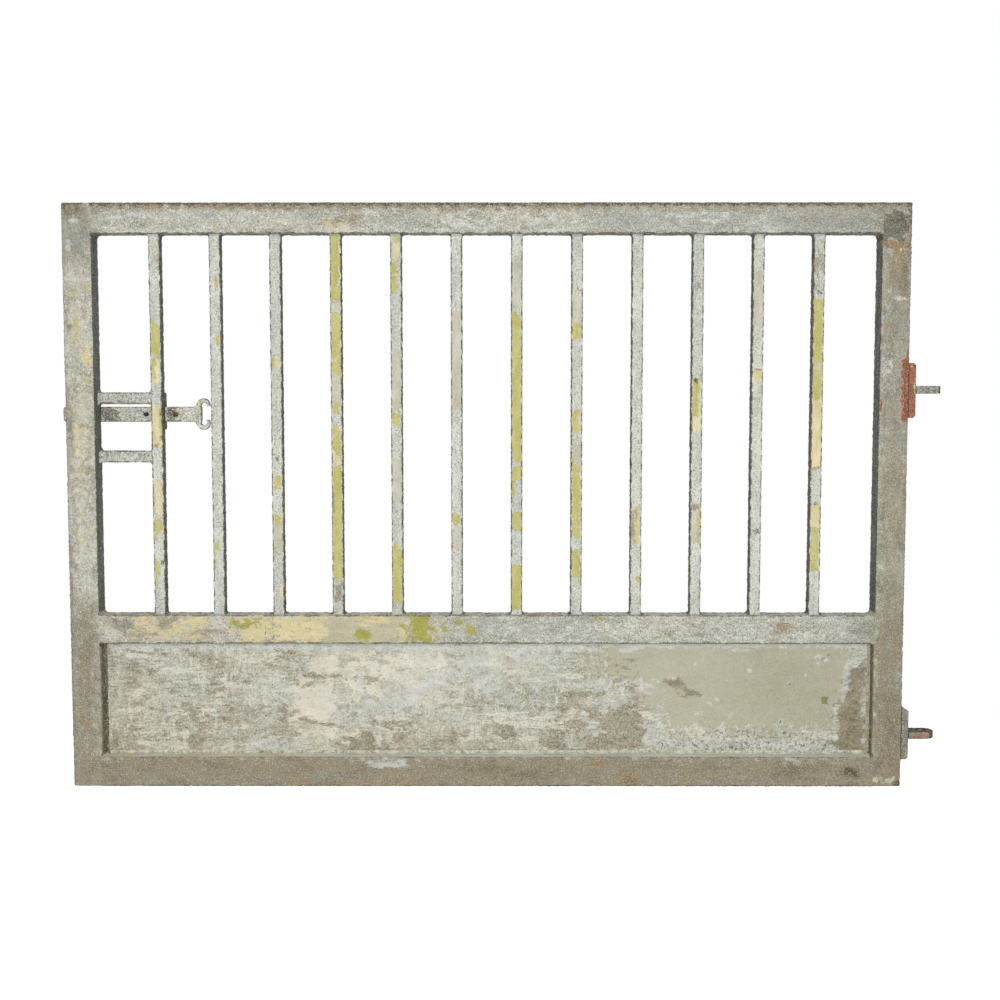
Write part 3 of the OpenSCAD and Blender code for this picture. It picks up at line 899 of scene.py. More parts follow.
# %% List the paint left on the frame
FRAME_PATCHES = {
    "top_rail": {
        "soot_and_shade": [(0, 1404, 975.5, 990, 1, 2)],
        "stain": [(860, 1404, 972, 990, 0.8, 4), (49, 900, 969, 986, 0.85, 5),
                  (1180, 1390, 930, 975, 0.36, 20), (440, 500, 940, 962, 0.6, 14),
                  (560, 660, 935, 950, 0.5, 15)],
        "rust": [(49, 880, 973, 986, 0.5, 5), (134, 160, 966, 986, 0.6, 6),
                 (200, 285, 970, 986, 0.5, 6), (965, 1300, 976, 986, 0.46, 4),
                 (876, 940, 926, 934, 0.7, 3)],
        "brown": [(49, 1400, 966, 990, 0.85, 6)],
        "bloom_and_highlight": [(60, 140, 950, 963, 0.5, 7), (60, 1340, 928, 936, 0.36, 3),
                  (168, 184, 968, 980, 0.6, 5), (620, 840, 935, 965, 0.42, 25),
                  (980, 1180, 938, 968, 0.4, 25)],
        "cream": [(430, 480, 933, 958, 0.5, 14)],
    },
    "latch_stile": {
        "stain": [(0, 34, 950, 984, 0.9, 10), (-5, 7, -5, 430, 0.7, 4), (-5, 55, 880, 950, 0.42, 20),
                  (4, 14, 772, 784, 0.9, 5), (15, 21, 574, 606, 0.6, 3), (-5, 14, 560, 700, 0.4, 12),
                  (-5, 55, -5, 320, 0.5, 40), (24, 50, 480, 560, 0.36, 20)],
        "soot_and_shade": [(0, 10, 966, 984, 0.6, 7), (-5, 56, 976.5, 990, 0.8, 2), (14, 30, 958, 976, 0.36, 6),
                 (48, 60, 540, 640, 0.5, 12)],
        "bloom_and_highlight": [(10, 30, 946, 956, 0.55, 5), (5, 15, 903, 921, 0.7, 5), (8, 46, 330, 640, 0.38, 30)],
        "cream": [(12, 26, 960, 978, 0.55, 5), (27, 47, 704, 752, 0.6, 12), (13, 24, 558, 618, 0.7, 5),
                  (21, 28, 652, 672, 0.55, 4), (6, 46, 380, 660, 0.42, 24)],
        "putty": [(3, 40, 700, 872, 0.5, 26)],
        "lime": [(12, 24, 820, 835, 0.6, 6), (37, 46, 834, 848, 0.62, 5), (13, 28, 745, 798, 0.55, 11),
                 (29, 40, 684, 696, 0.7, 5)],
    },
    "mid_rail": {
        # The first soot row is painted shade along the rail's lower edge, where it overhangs the sheet.
        "soot_and_shade": [(40, 1365, 240, 247, 0.6, 2), (328.5, 331, 252, 290, 0.55, 1),
                 (341, 343.5, 250, 292, 0.66, 1), (390, 420, 258, 280, 0.3, 10),
                 (736, 768, 242, 250, 0.6, 4)],
        "stain": [(62, 104, 262, 292, 0.8, 12), (141, 180, 266, 292, 0.6, 12),
                  (96, 300, 246, 270, 0.42, 16), (262, 287, 250, 264, 0.6, 8),
                  (286, 380, 244, 252, 0.6, 5), (974, 1124, 250, 290, 0.5, 18),
                  (1176, 1224, 250, 292, 0.5, 16), (1308, 1362, 250, 290, 0.55, 14)],
        "bloom_and_highlight": [(50, 86, 248, 284, 0.5, 12), (236, 266, 268, 296, 0.62, 10),
                  (344, 386, 286, 296, 0.5, 5), (1268, 1312, 262, 292, 0.5, 12),
                  (700, 1300, 252, 290, 0.36, 20)],
        "cream": [(50, 86, 248, 284, 0.4, 14), (96, 238, 246, 294, 0.56, 14),
                  (98, 141, 274, 292, 0.66, 10), (182, 238, 276, 293, 0.7, 10),
                  (264, 312, 264, 292, 0.6, 12), (286, 344, 248, 294, 0.85, 12),
                  (344, 430, 247, 295, 0.95, 10), (476, 510, 268, 292, 0.55, 10),
                  (503, 540, 278, 294, 0.75, 8), (552, 574, 246, 294, 0.6, 10),
                  (604, 628, 250, 290, 0.5, 10)],
        "lime": [(104, 236, 291, 296, 0.8, 3), (264, 312, 270, 290, 0.62, 10),
                 (296, 330, 274, 292, 0.5, 10), (390, 418, 291, 296, 0.8, 3),
                 (476, 506, 246, 274, 0.8, 10), (572, 607, 242, 298, 0.95, 8),
                 (552, 626, 246, 292, 0.46, 12), (626, 640, 264, 276, 0.8, 5),
                 (648, 662, 276, 288, 0.75, 5), (666, 684, 260, 277, 0.85, 6),
                 (883, 906, 286, 294, 0.75, 3)],
        "putty": [(428, 564, 244, 298, 1, 8)],
        "rust": [(672, 714, 291, 298, 0.6, 3), (771, 828, 291, 298, 0.75, 3),
                 (1180, 1218, 254, 292, 0.36, 14)],
    },
    "bottom_rail": {
        "stain": [(40, 1370, -5, 60, 0.45, 12), (650, 830, 8, 44, 0.9, 14),
                  (1182, 1268, 8, 42, 0.9, 12), (1296, 1336, 14, 36, 0.95, 6)],
        "bloom_and_highlight": [(500, 568, 34, 50, 0.66, 8), (1200, 1300, 40, 53, 0.36, 8)],
        "rust": [(880, 900, 33, 47, 0.75, 5), (922, 963, 4, 25, 0.8, 7), (60, 420, 30, 53, 0.3, 10),
                 (350, 620, -2, 12, 0.5, 8)],
        "soot_and_shade": [(1300, 1332, 17, 33, 0.62, 6), (40, 1365, -4, 2, 0.75, 3)],
    },
    "hinge_stile": {
        "under": [(1354, 1396, 918, 963, 1, 4), (1368, 1400, 66, 130, 0.5, 14)],
        "soot_and_shade": [(1358, 1398, 918, 962, 0.36, 6), (1350, 1410, 976.5, 990, 1, 2),
                 (1394, 1410, 940, 990, 0.6, 6), (1400, 1402, 634, 722, 0.5, 1),
                 (1396, 1398, 636, 700, 0.5, 1), (1360, 1376, 120, 123, 0.6, 2),
                 (1374, 1396, 49, 53, 0.5, 2), (1390, 1408, -4, 10, 0.8, 4)],
        "stain": [(1345, 1424, -5, 185, 0.66, 30), (1350, 1410, 966, 990, 0.6, 8),
                  (1383, 1402, 822, 902, 0.95, 6), (1350, 1404, 905, 917, 0.7, 4),
                  (1371, 1376, 850, 900, 0.5, 3), (1350, 1410, 380, 900, 0.34, 30),
                  (1350, 1410, -5, 320, 0.55, 40), (1360, 1392, 26, 50, 0.9, 10)],
        "rust": [(1355, 1402, 905, 917, 0.9, 3), (1371, 1389, 856, 910, 0.56, 5),
                 (1366, 1376, 770, 782, 0.6, 4), (1366, 1404, 22, 58, 0.36, 10)],
        "cream": [(1383, 1387, 862, 908, 0.8, 2), (1346, 1400, 4, 20, 0.5, 8)],
        "bloom_and_highlight": [(1376, 1396, 818, 827, 0.7, 4), (1361, 1378, 700, 730, 0.6, 8),
                  (1350, 1396, 6, 18, 0.46, 8)],
        "primer": [(1392, 1414, 620, 722, 1, 4), (1399, 1412, 690, 742, 0.95, 4),
                   (1354.5, 1360, 637, 656, 0.95, 2)],
        "brown": [(1362, 1404, 10, 60, 0.9, 10)],
    },
}
print("patches on the frame:", count_rows(FRAME_PATCHES))

# %% [markdown]
# The kick panel has the most patches, because water and dirt gather on it. Putty
# was spread over its right end, paint runs down in pale streaks, and dark stains
# crowd above its foot. Chips and scratches have patches of only a few millimetres.
# Thin pale bands along its foot and head are painted highlights, and the one at its
# head also lifts the shadow that the mid rail casts there.

# %% List the paint left on the panel
FRAME_PATCHES["kick_panel"] = {
    "putty": [(902, 1320, 184, 238, 1, 10), (968, 1312, 134, 200, 1, 10),
              (1008, 1299, 98, 150, 1, 12)],
    "under": [(1120, 1330, 80, 250, 0.5, 70), (1200, 1330, 80, 150, 0.5, 50)],
    "bloom_and_highlight": [(1120, 1150, 226, 240, 0.6, 6), (926, 972, 226, 240, 0.6, 7),
              (60, 130, 206, 238, 0.42, 16), (286, 390, 50, 76, 0.7, 12),
              (495, 712, 148, 190, 0.72, 16, 108), (420, 600, 100, 150, 0.5, 20, 20),
              (672, 722, 152, 186, 0.75, 12), (560, 860, 196, 240, 0.5, 20),
              (862, 900, 76, 116, 0.6, 12), (830, 1000, 160, 182, 0.5, 14),
              (950, 980, 150, 180, 0.66, 9), (120, 860, 90, 240, 0.36, 50),
              (966, 1010, 60, 118, 0.66, 12), (1008, 1036, 180, 190, 0.5, 4, -8),
              (1070, 1084, 139, 144, 0.6, 2, -8), (1147, 1155, 191, 198, 0.85, 2),
              (1212, 1221, 170, 180, 0.8, 2), (1092, 1100, 141, 148, 0.9, 2),
              (1081, 1089, 133, 140, 0.7, 2), (1056, 1072, 117, 125, 0.66, 3),
              (1114, 1124, 112, 120, 0.5, 3), (1244, 1249, 184, 188, 0.95, 1),
              (1054, 1061, 203, 209, 0.8, 2), (1110, 1114, 176, 180, 0.7, 1),
              (1200, 1214, 82, 112, 0.56, 5), (1090, 1112, 80, 98, 0.6, 6),
              (1140, 1158, 70, 84, 0.6, 5), (1264, 1284, 206, 222, 0.6, 5),
              (1276, 1286, 108, 114, 0.5, 3, -4), (985, 1300, 46, 76, 0.66, 12),
              (1294, 1304, 70, 150, 0.6, 3, 20), (1303, 1324, 140, 204, 0.56, 5, 40),
              (1316, 1362, 194, 240, 0.55, 12), (1338, 1360, 112, 164, 0.55, 8),
              # The next three rows are painted highlights along the sheet's foot and head.
              (55, 1362, 46, 52, 0.7, 4), (58, 900, 227, 243, 0.72, 4),
              (900, 1345, 233.5, 243, 0.8, 1.5)],
    "stain": [(55, 330, 120, 236, 0.42, 50), (133, 164, 215, 238, 0.7, 8),
              (180, 208, 219, 238, 0.7, 8), (188, 214, 56, 88, 0.95, 8), (170, 182, 60, 90, 0.6, 6),
              (250, 264, 48, 62, 0.7, 7), (58, 70, 56, 96, 0.7, 6), (343, 360, 102, 138, 0.9, 7),
              (300, 340, 92, 120, 0.46, 12), (376, 470, 98, 104, 0.75, 3, -18),
              (388, 520, 176, 188, 0.66, 5, -6), (392, 520, 169, 173, 0.7, 2, -3),
              (480, 510, 62, 100, 0.9, 12), (532, 562, 66, 82, 0.7, 9),
              (450, 640, 48, 84, 0.46, 18), (634, 672, 72, 92, 0.8, 9),
              (636, 648, 146, 158, 0.7, 6), (672, 722, 66, 88, 0.5, 12),
              (724, 755, 78, 100, 0.8, 8), (790, 838, 58, 78, 0.85, 9), (800, 826, 74, 98, 0.75, 8),
              (718, 832, 122, 136, 0.6, 8), (824, 904, 148, 159, 0.85, 5),
              (832, 864, 96, 110, 0.85, 7), (870, 972, 58, 128, 0.95, 9),
              (856, 890, 118, 134, 0.7, 7), (1004, 1042, 158, 184, 0.72, 9, -20),
              (1040, 1072, 150, 160, 0.72, 4, -14), (1268, 1284, 213, 222, 0.66, 3),
              (1302, 1346, 58, 150, 1, 8), (1314, 1350, 130, 206, 0.95, 8, 20),
              (55, 400, 46, 250, 0.36, 30), (400, 900, 46, 130, 0.3, 30),
              (760, 960, 130, 250, 0.24, 30)],
    "cream": [(62, 150, 134, 178, 0.45, 16), (376, 440, 110, 171, 1, 7),
              (404, 446, 194, 220, 0.95, 8), (366, 500, 64, 112, 0.5, 18),
              (446, 650, 132, 236, 0.66, 24), (640, 800, 180, 240, 0.5, 20),
              (500, 600, 50, 70, 0.46, 12)],
    "lime": [(1275, 1287, 136, 149, 0.95, 3)],
    "soot_and_shade": [(1280, 1285, 138, 146, 0.3, 3), (1219, 1222, 168, 176, 0.5, 1),
             (1211, 1213, 176, 181, 0.5, 1), (1098, 1101, 140, 146, 0.6, 1),
             (1082, 1086, 133, 136, 0.6, 1), (1070, 1073, 118, 123, 0.5, 1),
             (1098, 1101, 212, 216, 0.6, 1), (1185, 1188, 158, 162, 0.6, 1),
             (1203, 1207, 104, 109, 0.8, 1), (1210, 1214, 84, 89, 0.8, 1),
             (1206, 1209, 94, 97, 0.7, 1), (1094, 1108, 86, 90, 0.66, 1, -6),
             (1264, 1280, 212, 215, 0.6, 1, -6), (985, 1300, 48, 76, 0.38, 8),
             (1010, 1290, 70, 92, 0.3, 8), (1310, 1340, 70, 190, 0.3, 14),
             (1330, 1334, 54, 120, 0.42, 2)],
    "rust": [(1299, 1318, 88, 103, 0.5, 6)],
    "brown": [(1300, 1348, 56, 200, 1, 8)],
    "dull": [(1300, 1348, 56, 200, 1, 8)],
}
print("patches on the panel:", sum(len(rows) for rows in FRAME_PATCHES["kick_panel"].values()))

# %% [markdown]
# Under the patches lie broad tones that all of the frame shares. It is dull and
# brown where rain splashes at its foot and along its hinge side, and a cooler grey
# where it stays clean. They are written in the same way as the patches.

# %% List the broad tones of the frame
FRAME_TONES = {
    "dull": [(-20, 60, -20, 330, 0.75, 60), (-20, 1424, -20, 60, 0.95, 18),
             (1345, 1424, -20, 940, 0.75, 40), (1345, 1424, 60, 380, 0.85, 60),
             (1345, 1424, 20, 190, 1, 30), (1180, 1424, 920, 1000, 0.5, 60),
             (-20, 60, 470, 700, 0.35, 50), (-20, 64, 884, 1000, 0.8, 20),
             (1340, 1424, 905, 1000, 0.75, 20)],
    "cool": [(860, 1370, 920, 970, 0.75, 30), (49, 240, 936, 968, 0.5, 24),
             (-10, 60, 890, 960, 0.5, 20), (360, 600, 940, 970, 0.4, 30), (620, 900, 244, 300, 0.5, 30),
             (1290, 1370, 244, 300, 0.6, 20), (1350, 1424, 560, 860, 0.4, 40),
             (20, 60, 470, 600, 0.2, 20)],
    "brown": [(-5, 16, 480, 640, 0.6, 8), (-20, 12, 560, 1000, 0.4, 12), (-20, 1424, -20, 60, 0.7, 20),
              (1345, 1424, -20, 1000, 0.5, 60), (-20, 60, -20, 300, 0.5, 60)],
}
print("tones on the frame:", sum(len(rows) for rows in FRAME_TONES.values()))

# %% [markdown]
# Round the kick panel the frame's inner sides catch light that the sheet throws
# back, so their painted shade is lessened, the crevice beside the sheet gets a
# painted shade of soot, and the ledge below it, which looks up to the light, is
# painted pale as a highlight. Depths are in millimetres from the frame's front.

# %% Paint light and shade round the panel
SIDE_LIT = 0.15
DEEP_SIDE_LIT = 0.35


def light_and_shade_round_panel(coats):
    """Lessens the painted shade on the frame's inner sides round the panel, paints shade in the crevice
    and a highlight on the ledge.
    """
    panel_low, panel_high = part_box("kick_panel")
    x, y, z = coats.places.T
    beside = (z > panel_low.z - 1 * MM) & (z < panel_high.z - 1 * MM)
    inner = (x > inner_left - 3 * MM) & (x < inner_right + 3 * MM)
    depth = (y - front) / MM
    coats.amounts["side"][beside & inner & (depth < 9)] *= SIDE_LIT
    coats.amounts["side"][beside & inner & (depth >= 9)] *= DEEP_SIDE_LIT
    # Painted shade in the crevice beside the sheet.
    crevice = beside & inner & (depth > 5) & (depth < 26) & (z > panel_low.z + 3 * MM)
    coats.amounts["soot_and_shade"][crevice] = 0.6
    # Painted highlight on the ledge below the sheet, which looks up to the light.
    ledge = inner & (abs(z - panel_low.z) < 2 * MM)
    painted_lit_ledge = ledge & (depth > 3)
    for coat in ("side", "soot_and_shade", "stain", "dull", "brown", "rust"):
        coats.amounts[coat][painted_lit_ledge] = 0
    coats.amounts["cream"][painted_lit_ledge] = 0.8
    coats.amounts["bloom_and_highlight"][painted_lit_ledge] = np.where(x < leaf_left + 380 * MM, 0.5, 1)[painted_lit_ledge]


# %% [markdown]
# The frame's other faces differ too. The mid rail's top gets a painted shade,
# grey in front of the bars and darkest behind them, the top of the leaf keeps
# little of the soot and painted shade, the top rail's underside is lit from below,
# so its painted shade is halved, and no primer reached the hinge stile's inner side.

# %% Shade and wash the frame's other faces
TOP_ABOVE = 900 * MM


def shade_mid_rail_top(coats):
    """Paints shade on the top of the mid rail, most of all behind the bars."""
    upward = coats.normals[:, 2] > 0.4
    past_front = upward & (coats.places[:, 1] > front + 2 * MM)
    behind_bars = upward & (coats.places[:, 1] > back - 6 * MM)
    coats.amounts["side"][past_front] = 0.42
    coats.amounts["side"][behind_bars] = 1
    coats.amounts["soot_and_shade"][behind_bars] = 0.5


def wash_top(coats):
    """Takes most of the soot and painted shade off the top of the leaf."""
    level_top = (coats.normals[:, 2] > 0.9) & (coats.places[:, 2] > foot + TOP_ABOVE)
    coats.amounts["soot_and_shade"][level_top] *= 0.45


def light_underside(coats):
    """Halves the shade on the faces that look down."""
    downward = coats.normals[:, 2] < -0.5
    coats.amounts["side"][downward] *= 0.5
    coats.amounts["under"][downward] *= 0.45


def bare_inner_side(coats):
    """Takes the primer off the side that looks to the bars."""
    coats.amounts["primer"][coats.normals[:, 0] < -0.5] = 0


SHADES_AND_WASHES = {"top_rail": (wash_top, light_underside), "mid_rail": (shade_mid_rail_top,),
          "bottom_rail": (wash_top,), "latch_stile": (wash_top,),
          "hinge_stile": (bare_inner_side, wash_top)}
print("pieces with washes of their own:", list(SHADES_AND_WASHES))

# %% [markdown]
# Now the frame and the panel are coated. A member's long edges are darkened with
# painted shade and soot by one amount on the low side and another on the high
# side, and the third number says how wide the dark line is, in millimetres.

# %% Coat the frame and the panel
AXES = {"top_rail": 0, "mid_rail": 0, "bottom_rail": 0, "latch_stile": 2, "hinge_stile": 2}
EDGE_LINES = {"top_rail": (0.85, 1.1), "mid_rail": (1.3, 0.8, 2.0), "bottom_rail": (1.3, 1.0, 1.9),
              "latch_stile": (1.1, 0.4, 2.0), "hinge_stile": (0.3, 1.2, 2.0)}
FRAME_PIECES = {"top_rail": top_rail, "mid_rail": mid_rail, "bottom_rail": bottom_rail,
                "latch_stile": latch_stile, "hinge_stile": hinge_stile,
                "kick_panel": kick_panel}


def lay_on(coats, patches):
    """Lays every patch of every coat in a table."""
    for coat, rows in patches.items():
        for row in rows:
            coats.dab(coat, *row)


for name, piece in FRAME_PIECES.items():
    coats = Coats(piece, AXES.get(name))
    lay_on(coats, FRAME_PATCHES[name])
    if name in AXES:
        lay_on(coats, FRAME_TONES)
        line_edges(coats, name, 2 - AXES[name], *EDGE_LINES[name])
        light_and_shade_round_panel(coats)
        for finishing_step in SHADES_AND_WASHES[name]:
            finishing_step(coats)
    coats.store()
print("coated", list(FRAME_PIECES))

# %% [markdown]
# The small pieces have patches in the same form. The crossbars get painted shade
# of soot along their edges and a pale bloom that is partly a painted highlight.
# The bolt is dark where the stile and the first bar shade it and along its edges,
# all painted shade, and keeps old paint and pale bloom, partly painted highlight,
# in between. Chips of cream are left on the red upper pad, and the lower pad is
# stained at its foot.

# %% List the paint left on the small pieces
FITTING_PATCHES = {
    "latch_crossbar_upper": {
        "soot_and_shade": [(50, 150, 644, 652, 0.6, 2), (45, 150, 640, 672, 0.32, 3)],
        "stain": [(45, 150, 644, 668, 0.36, 6)],
        "lime": [(84, 112, 648, 653, 0.5, 3)],
        "bloom_and_highlight": [(45, 150, 640, 672, 0.42, 3)],
    },
    "latch_crossbar_lower": {
        "soot_and_shade": [(45, 150, 550, 572, 0.3, 6)],
        "stain": [(45, 150, 550, 572, 0.46, 5)],
        "bloom_and_highlight": [(45, 150, 540, 576, 0.42, 3)],
    },
    "slide_bolt": {
        "soot_and_shade": [(46, 66, 600, 660, 0.8, 10), (58, 80, 612, 642, 0.78, 8), (84, 130, 628, 642, 0.3, 6),
                 (60, 190, 612, 618, 0.5, 3), (60, 190, 634, 640, 0.46, 3),
                 (62, 235, 606, 646, 0.27, 3), (170, 186, 610, 650, 0.5, 6),
                 (160, 174, 610, 650, 0.8, 5)],
        "bloom_and_highlight": [(104, 158, 614, 630, 0.6, 8), (186, 212, 618, 636, 0.6, 6),
                  (76, 130, 618, 634, 0.5, 10), (62, 235, 606, 646, 0.46, 3)],
        "lime": [(172, 190, 622, 636, 0.46, 6), (213, 230, 636, 660, 0.6, 6)],
        "cream": [(205, 232, 618, 645, 0.5, 7)],
        "stain": [(60, 150, 614, 630, 0.4, 9)],
    },
    "bolt_guide": {
        "soot_and_shade": [(140, 165, 600, 670, 0.42, 8)],
    },
    "hinge_pad_upper": {
        "cream": [(1412, 1419, 664, 692, 0.7, 2), (1404, 1416, 708, 714, 0.5, 2)],
        "soot_and_shade": [(1414.5, 1419, 620, 720, 0.6, 1), (1406, 1409, 628, 714, 0.5, 1),
                 (1404, 1419, 618, 716, 0.33, 4)],
    },
    "hinge_pad_lower": {
        "soot_and_shade": [(1403, 1406, 40, 140, 0.7, 1), (1400, 1420, 40, 140, 0.33, 4)],
        "bloom_and_highlight": [(1400, 1420, 40, 140, 0.12, 4)],
        "stain": [(1400, 1420, 40, 70, 0.6, 5)],
    },
    "hinge_lug_upper": {
        "soot_and_shade": [(1416, 1462, 660, 690, 0.3, 4)],
    },
}
print("patches on the small pieces:", count_rows(FITTING_PATCHES))

# %% [markdown]
# Most of the small pieces get painted shade, with some soot, on their worn edges.
# The guides and the stops are dark all over, so they need none. The bead round the
# panel lies in the shade of the stile at its left, which is painted on it with
# stain and soot, and its foot, which looks up to the light, is painted pale as a
# highlight.

# %% Coat the small pieces
CROSSBAR_LINES = (1.2, 1.1, 3.0)
BEAD_REACH = 8 * MM
FITTINGS = {"latch_crossbar_upper": crossbars[0], "latch_crossbar_lower": crossbars[1],
            "slide_bolt": bolt, "bolt_guide": guide, "kick_panel_weld": panel_bead,
            "bolt_stop_outer": stops[0], "bolt_stop_inner": stops[1],
            "hinge_pad_upper": pads[0], "hinge_pad_lower": pads[1],
            "hinge_lug_upper": lugs[0], "hinge_lug_lower": lugs[1]}


def light_and_shade_bead(coats):
    """Paints the stile's shade on the bead's left side with stain and soot, and a pale highlight along
    its foot.
    """
    x, y, z = coats.places.T
    coats.amounts["side"] *= 0.3
    coats.amounts["under"] *= 0
    # Painted shade: the stile's shadow on the bead, in stain and soot.
    in_shade = x < inner_left + BEAD_REACH
    coats.amounts["stain"][in_shade] = 1
    coats.amounts["soot_and_shade"][in_shade] = 0.7
    # Painted highlight along the bead's foot.
    along_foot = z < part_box("kick_panel")[0].z + 6 * MM
    along_foot &= (x > inner_left + BEAD_REACH) & (x < inner_right - BEAD_REACH)
    coats.amounts["cream"][along_foot] = 0.5
    coats.amounts["bloom_and_highlight"][along_foot] = 0.42


for node, piece in FITTINGS.items():
    coats = Coats(piece, along=0 if piece in crossbars else None)
    lay_on(coats, FITTING_PATCHES.get(node, {}))
    if piece in crossbars:
        line_edges(coats, node, 2, *CROSSBAR_LINES)
    if piece in (bolt, *crossbars, *lugs, *pads):
        outline(coats)
    if piece == panel_bead:
        light_and_shade_bead(coats)
    if piece in (guide, *stops):
        coats.amounts["side"] *= 0
        coats.amounts["under"] *= 0
    coats.store()
print("coated", list(FITTINGS))

# %% [markdown]
# ## Finishes
# Colours are written as they look in daylight, on a scale to 255, and turned
# into the linear values that a shader works with. Three more helpers blend two
# colours, place a noise and start a node group, which is a finish's building
# block that several materials share.

# %% Colour, noise and group helpers
def shade(red, green, blue):
    """A colour given on the usual 0 to 255 scale, as linear values for a shader."""
    linear = []
    for part in (red, green, blue):
        part = part / 255
        linear.append(part / 12.92 if part <= 0.04045 else ((part + 0.055) / 1.055) ** 2.4)
    return (*linear, 1)


def mix(tree, amount, below, above):
    """Two colours, blended by an amount."""
    node = put(tree, "ShaderNodeMix", data_type="RGBA", blend_type="MIX")
    feed(tree, amount, node.inputs[0])
    feed(tree, below, node.inputs[6])
    feed(tree, above, node.inputs[7])
    return node.outputs[2]


def noise(tree, place, scale, detail=4.0, roughness=0.6):
    """A noise's value at a place; scale is in features a metre."""
    node = put(tree, "ShaderNodeTexNoise")
    feed(tree, place, node.inputs["Vector"])
    feed(tree, scale, node.inputs["Scale"])
    feed(tree, detail, node.inputs["Detail"])
    feed(tree, roughness, node.inputs["Roughness"])
    return node.outputs["Fac"]


def new_group(name, inputs, outputs):
    """A node group with named sockets, and its two ends."""
    tree = bpy.data.node_groups.new(name, "ShaderNodeTree")
    for label, kind in inputs:
        tree.interface.new_socket(label, in_out="INPUT", socket_type=kind)
    for label, kind in outputs:
        tree.interface.new_socket(label, in_out="OUTPUT", socket_type=kind)
    return tree, put(tree, "NodeGroupInput").outputs, put(tree, "NodeGroupOutput").inputs


VALUE, COLOUR, PLACE = "NodeSocketFloat", "NodeSocketColor", "NodeSocketVector"
print("mid grey is", round(shade(128, 128, 128)[0], 3), "in linear light")

# %% [markdown]
# The ground under all the paint is zinc-coated steel that has gone chalky: pale
# grey clouds, warmer stains, and pale and dark flecks of a millimetre or two.

# %% Build the chalky zinc
ground, given, wanted = new_group(
    "chalky_zinc",
    [("Place", PLACE), ("Stretched", PLACE), ("Light", COLOUR), ("Dark", COLOUR), ("Warm", COLOUR),
     ("Warmth", VALUE), ("Cool", VALUE), ("Flecks", VALUE)],
    [("Color", COLOUR), ("Height", VALUE)])
clouds = ramp(ground, noise(ground, given["Stretched"], 38, 8, 0.75), 0.38, 0.62)
colour = mix(ground, clouds, given["Dark"], given["Light"])
warm = ramp(ground, noise(ground, given["Stretched"], 17, 7, 0.78), 0.47, 0.6)
colour = mix(ground, calc(ground, "MULTIPLY", warm, given["Warmth"]), colour, given["Warm"])
cool = ramp(ground, noise(ground, given["Stretched"], 8, 5, 0.72), 0.49, 0.6)
colour = mix(ground, calc(ground, "MULTIPLY", cool, given["Cool"]), colour, shade(180, 184, 178))
crackle = noise(ground, given["Place"], 190, 6, 0.82)
pale = calc(ground, "MULTIPLY", ramp(ground, crackle, 0.5, 0.6), given["Flecks"])
colour = mix(ground, pale, colour, shade(232, 234, 224))
specks = noise(ground, given["Place"], 260, 5, 0.8)
dark = calc(ground, "MULTIPLY", ramp(ground, specks, 0.47, 0.37), given["Flecks"])
colour = mix(ground, dark, colour, shade(112, 110, 94))
feed(ground, colour, wanted["Color"])
feed(ground, calc(ground, "ADD", crackle, calc(ground, "MULTIPLY", specks, 0.8)), wanted["Height"])
print("group", ground.name, "has", len(ground.nodes), "nodes")

# %% [markdown]
# A broken coat is an amount from the mesh, pushed up and down by a noise and
# then cut off. Where the amount is high the coat is whole, where it is about a
# half it is flaked to islands, and round the islands lies a thin rim. Small chips
# are knocked out of it by a second, finer noise.

# %% Build the broken coat
broken, given, wanted = new_group(
    "broken_coat",
    [("Place", PLACE), ("Amount", VALUE), ("Grain", VALUE), ("Ragged", VALUE), ("Soft", VALUE),
     ("Chips", VALUE)],
    [("Mask", VALUE), ("Rim", VALUE)])
push = calc(broken, "SUBTRACT", noise(broken, given["Place"], given["Grain"], 8, 0.76), 0.5)
level = calc(broken, "MULTIPLY_ADD", push, given["Ragged"], given["Amount"])
chip = ramp(broken, noise(broken, given["Place"], 260, 2, 0.6), 0.6, 0.68)
level = calc(broken, "SUBTRACT", level, calc(broken, "MULTIPLY", chip, given["Chips"]))
low_side = calc(broken, "SUBTRACT", 0.5, given["Soft"])
high_side = calc(broken, "ADD", 0.5, given["Soft"])
mask = ramp(broken, level, low_side, high_side)
halo = ramp(broken, level, calc(broken, "SUBTRACT", low_side, 0.1), low_side)
present = ramp(broken, given["Amount"], 0.02, 0.12)
feed(broken, calc(broken, "MULTIPLY", mask, present), wanted["Mask"])
feed(broken, calc(broken, "MULTIPLY", calc(broken, "SUBTRACT", halo, mask, clamp=True), present),
     wanted["Rim"])
print("group", broken.name, "has", len(broken.nodes), "nodes")

# %% [markdown]
# Each coat has its colour, a second tone that clouds it, and the numbers that say
# how it breaks: the size of its flakes, how ragged it is, how soft its edge is,
# how much it covers and how many chips are out of it. Stains are smears, so they
# follow the stretched place and let the ground show through. The thick coats are
# raised, so their flakes stand up and have a pale broken rim.

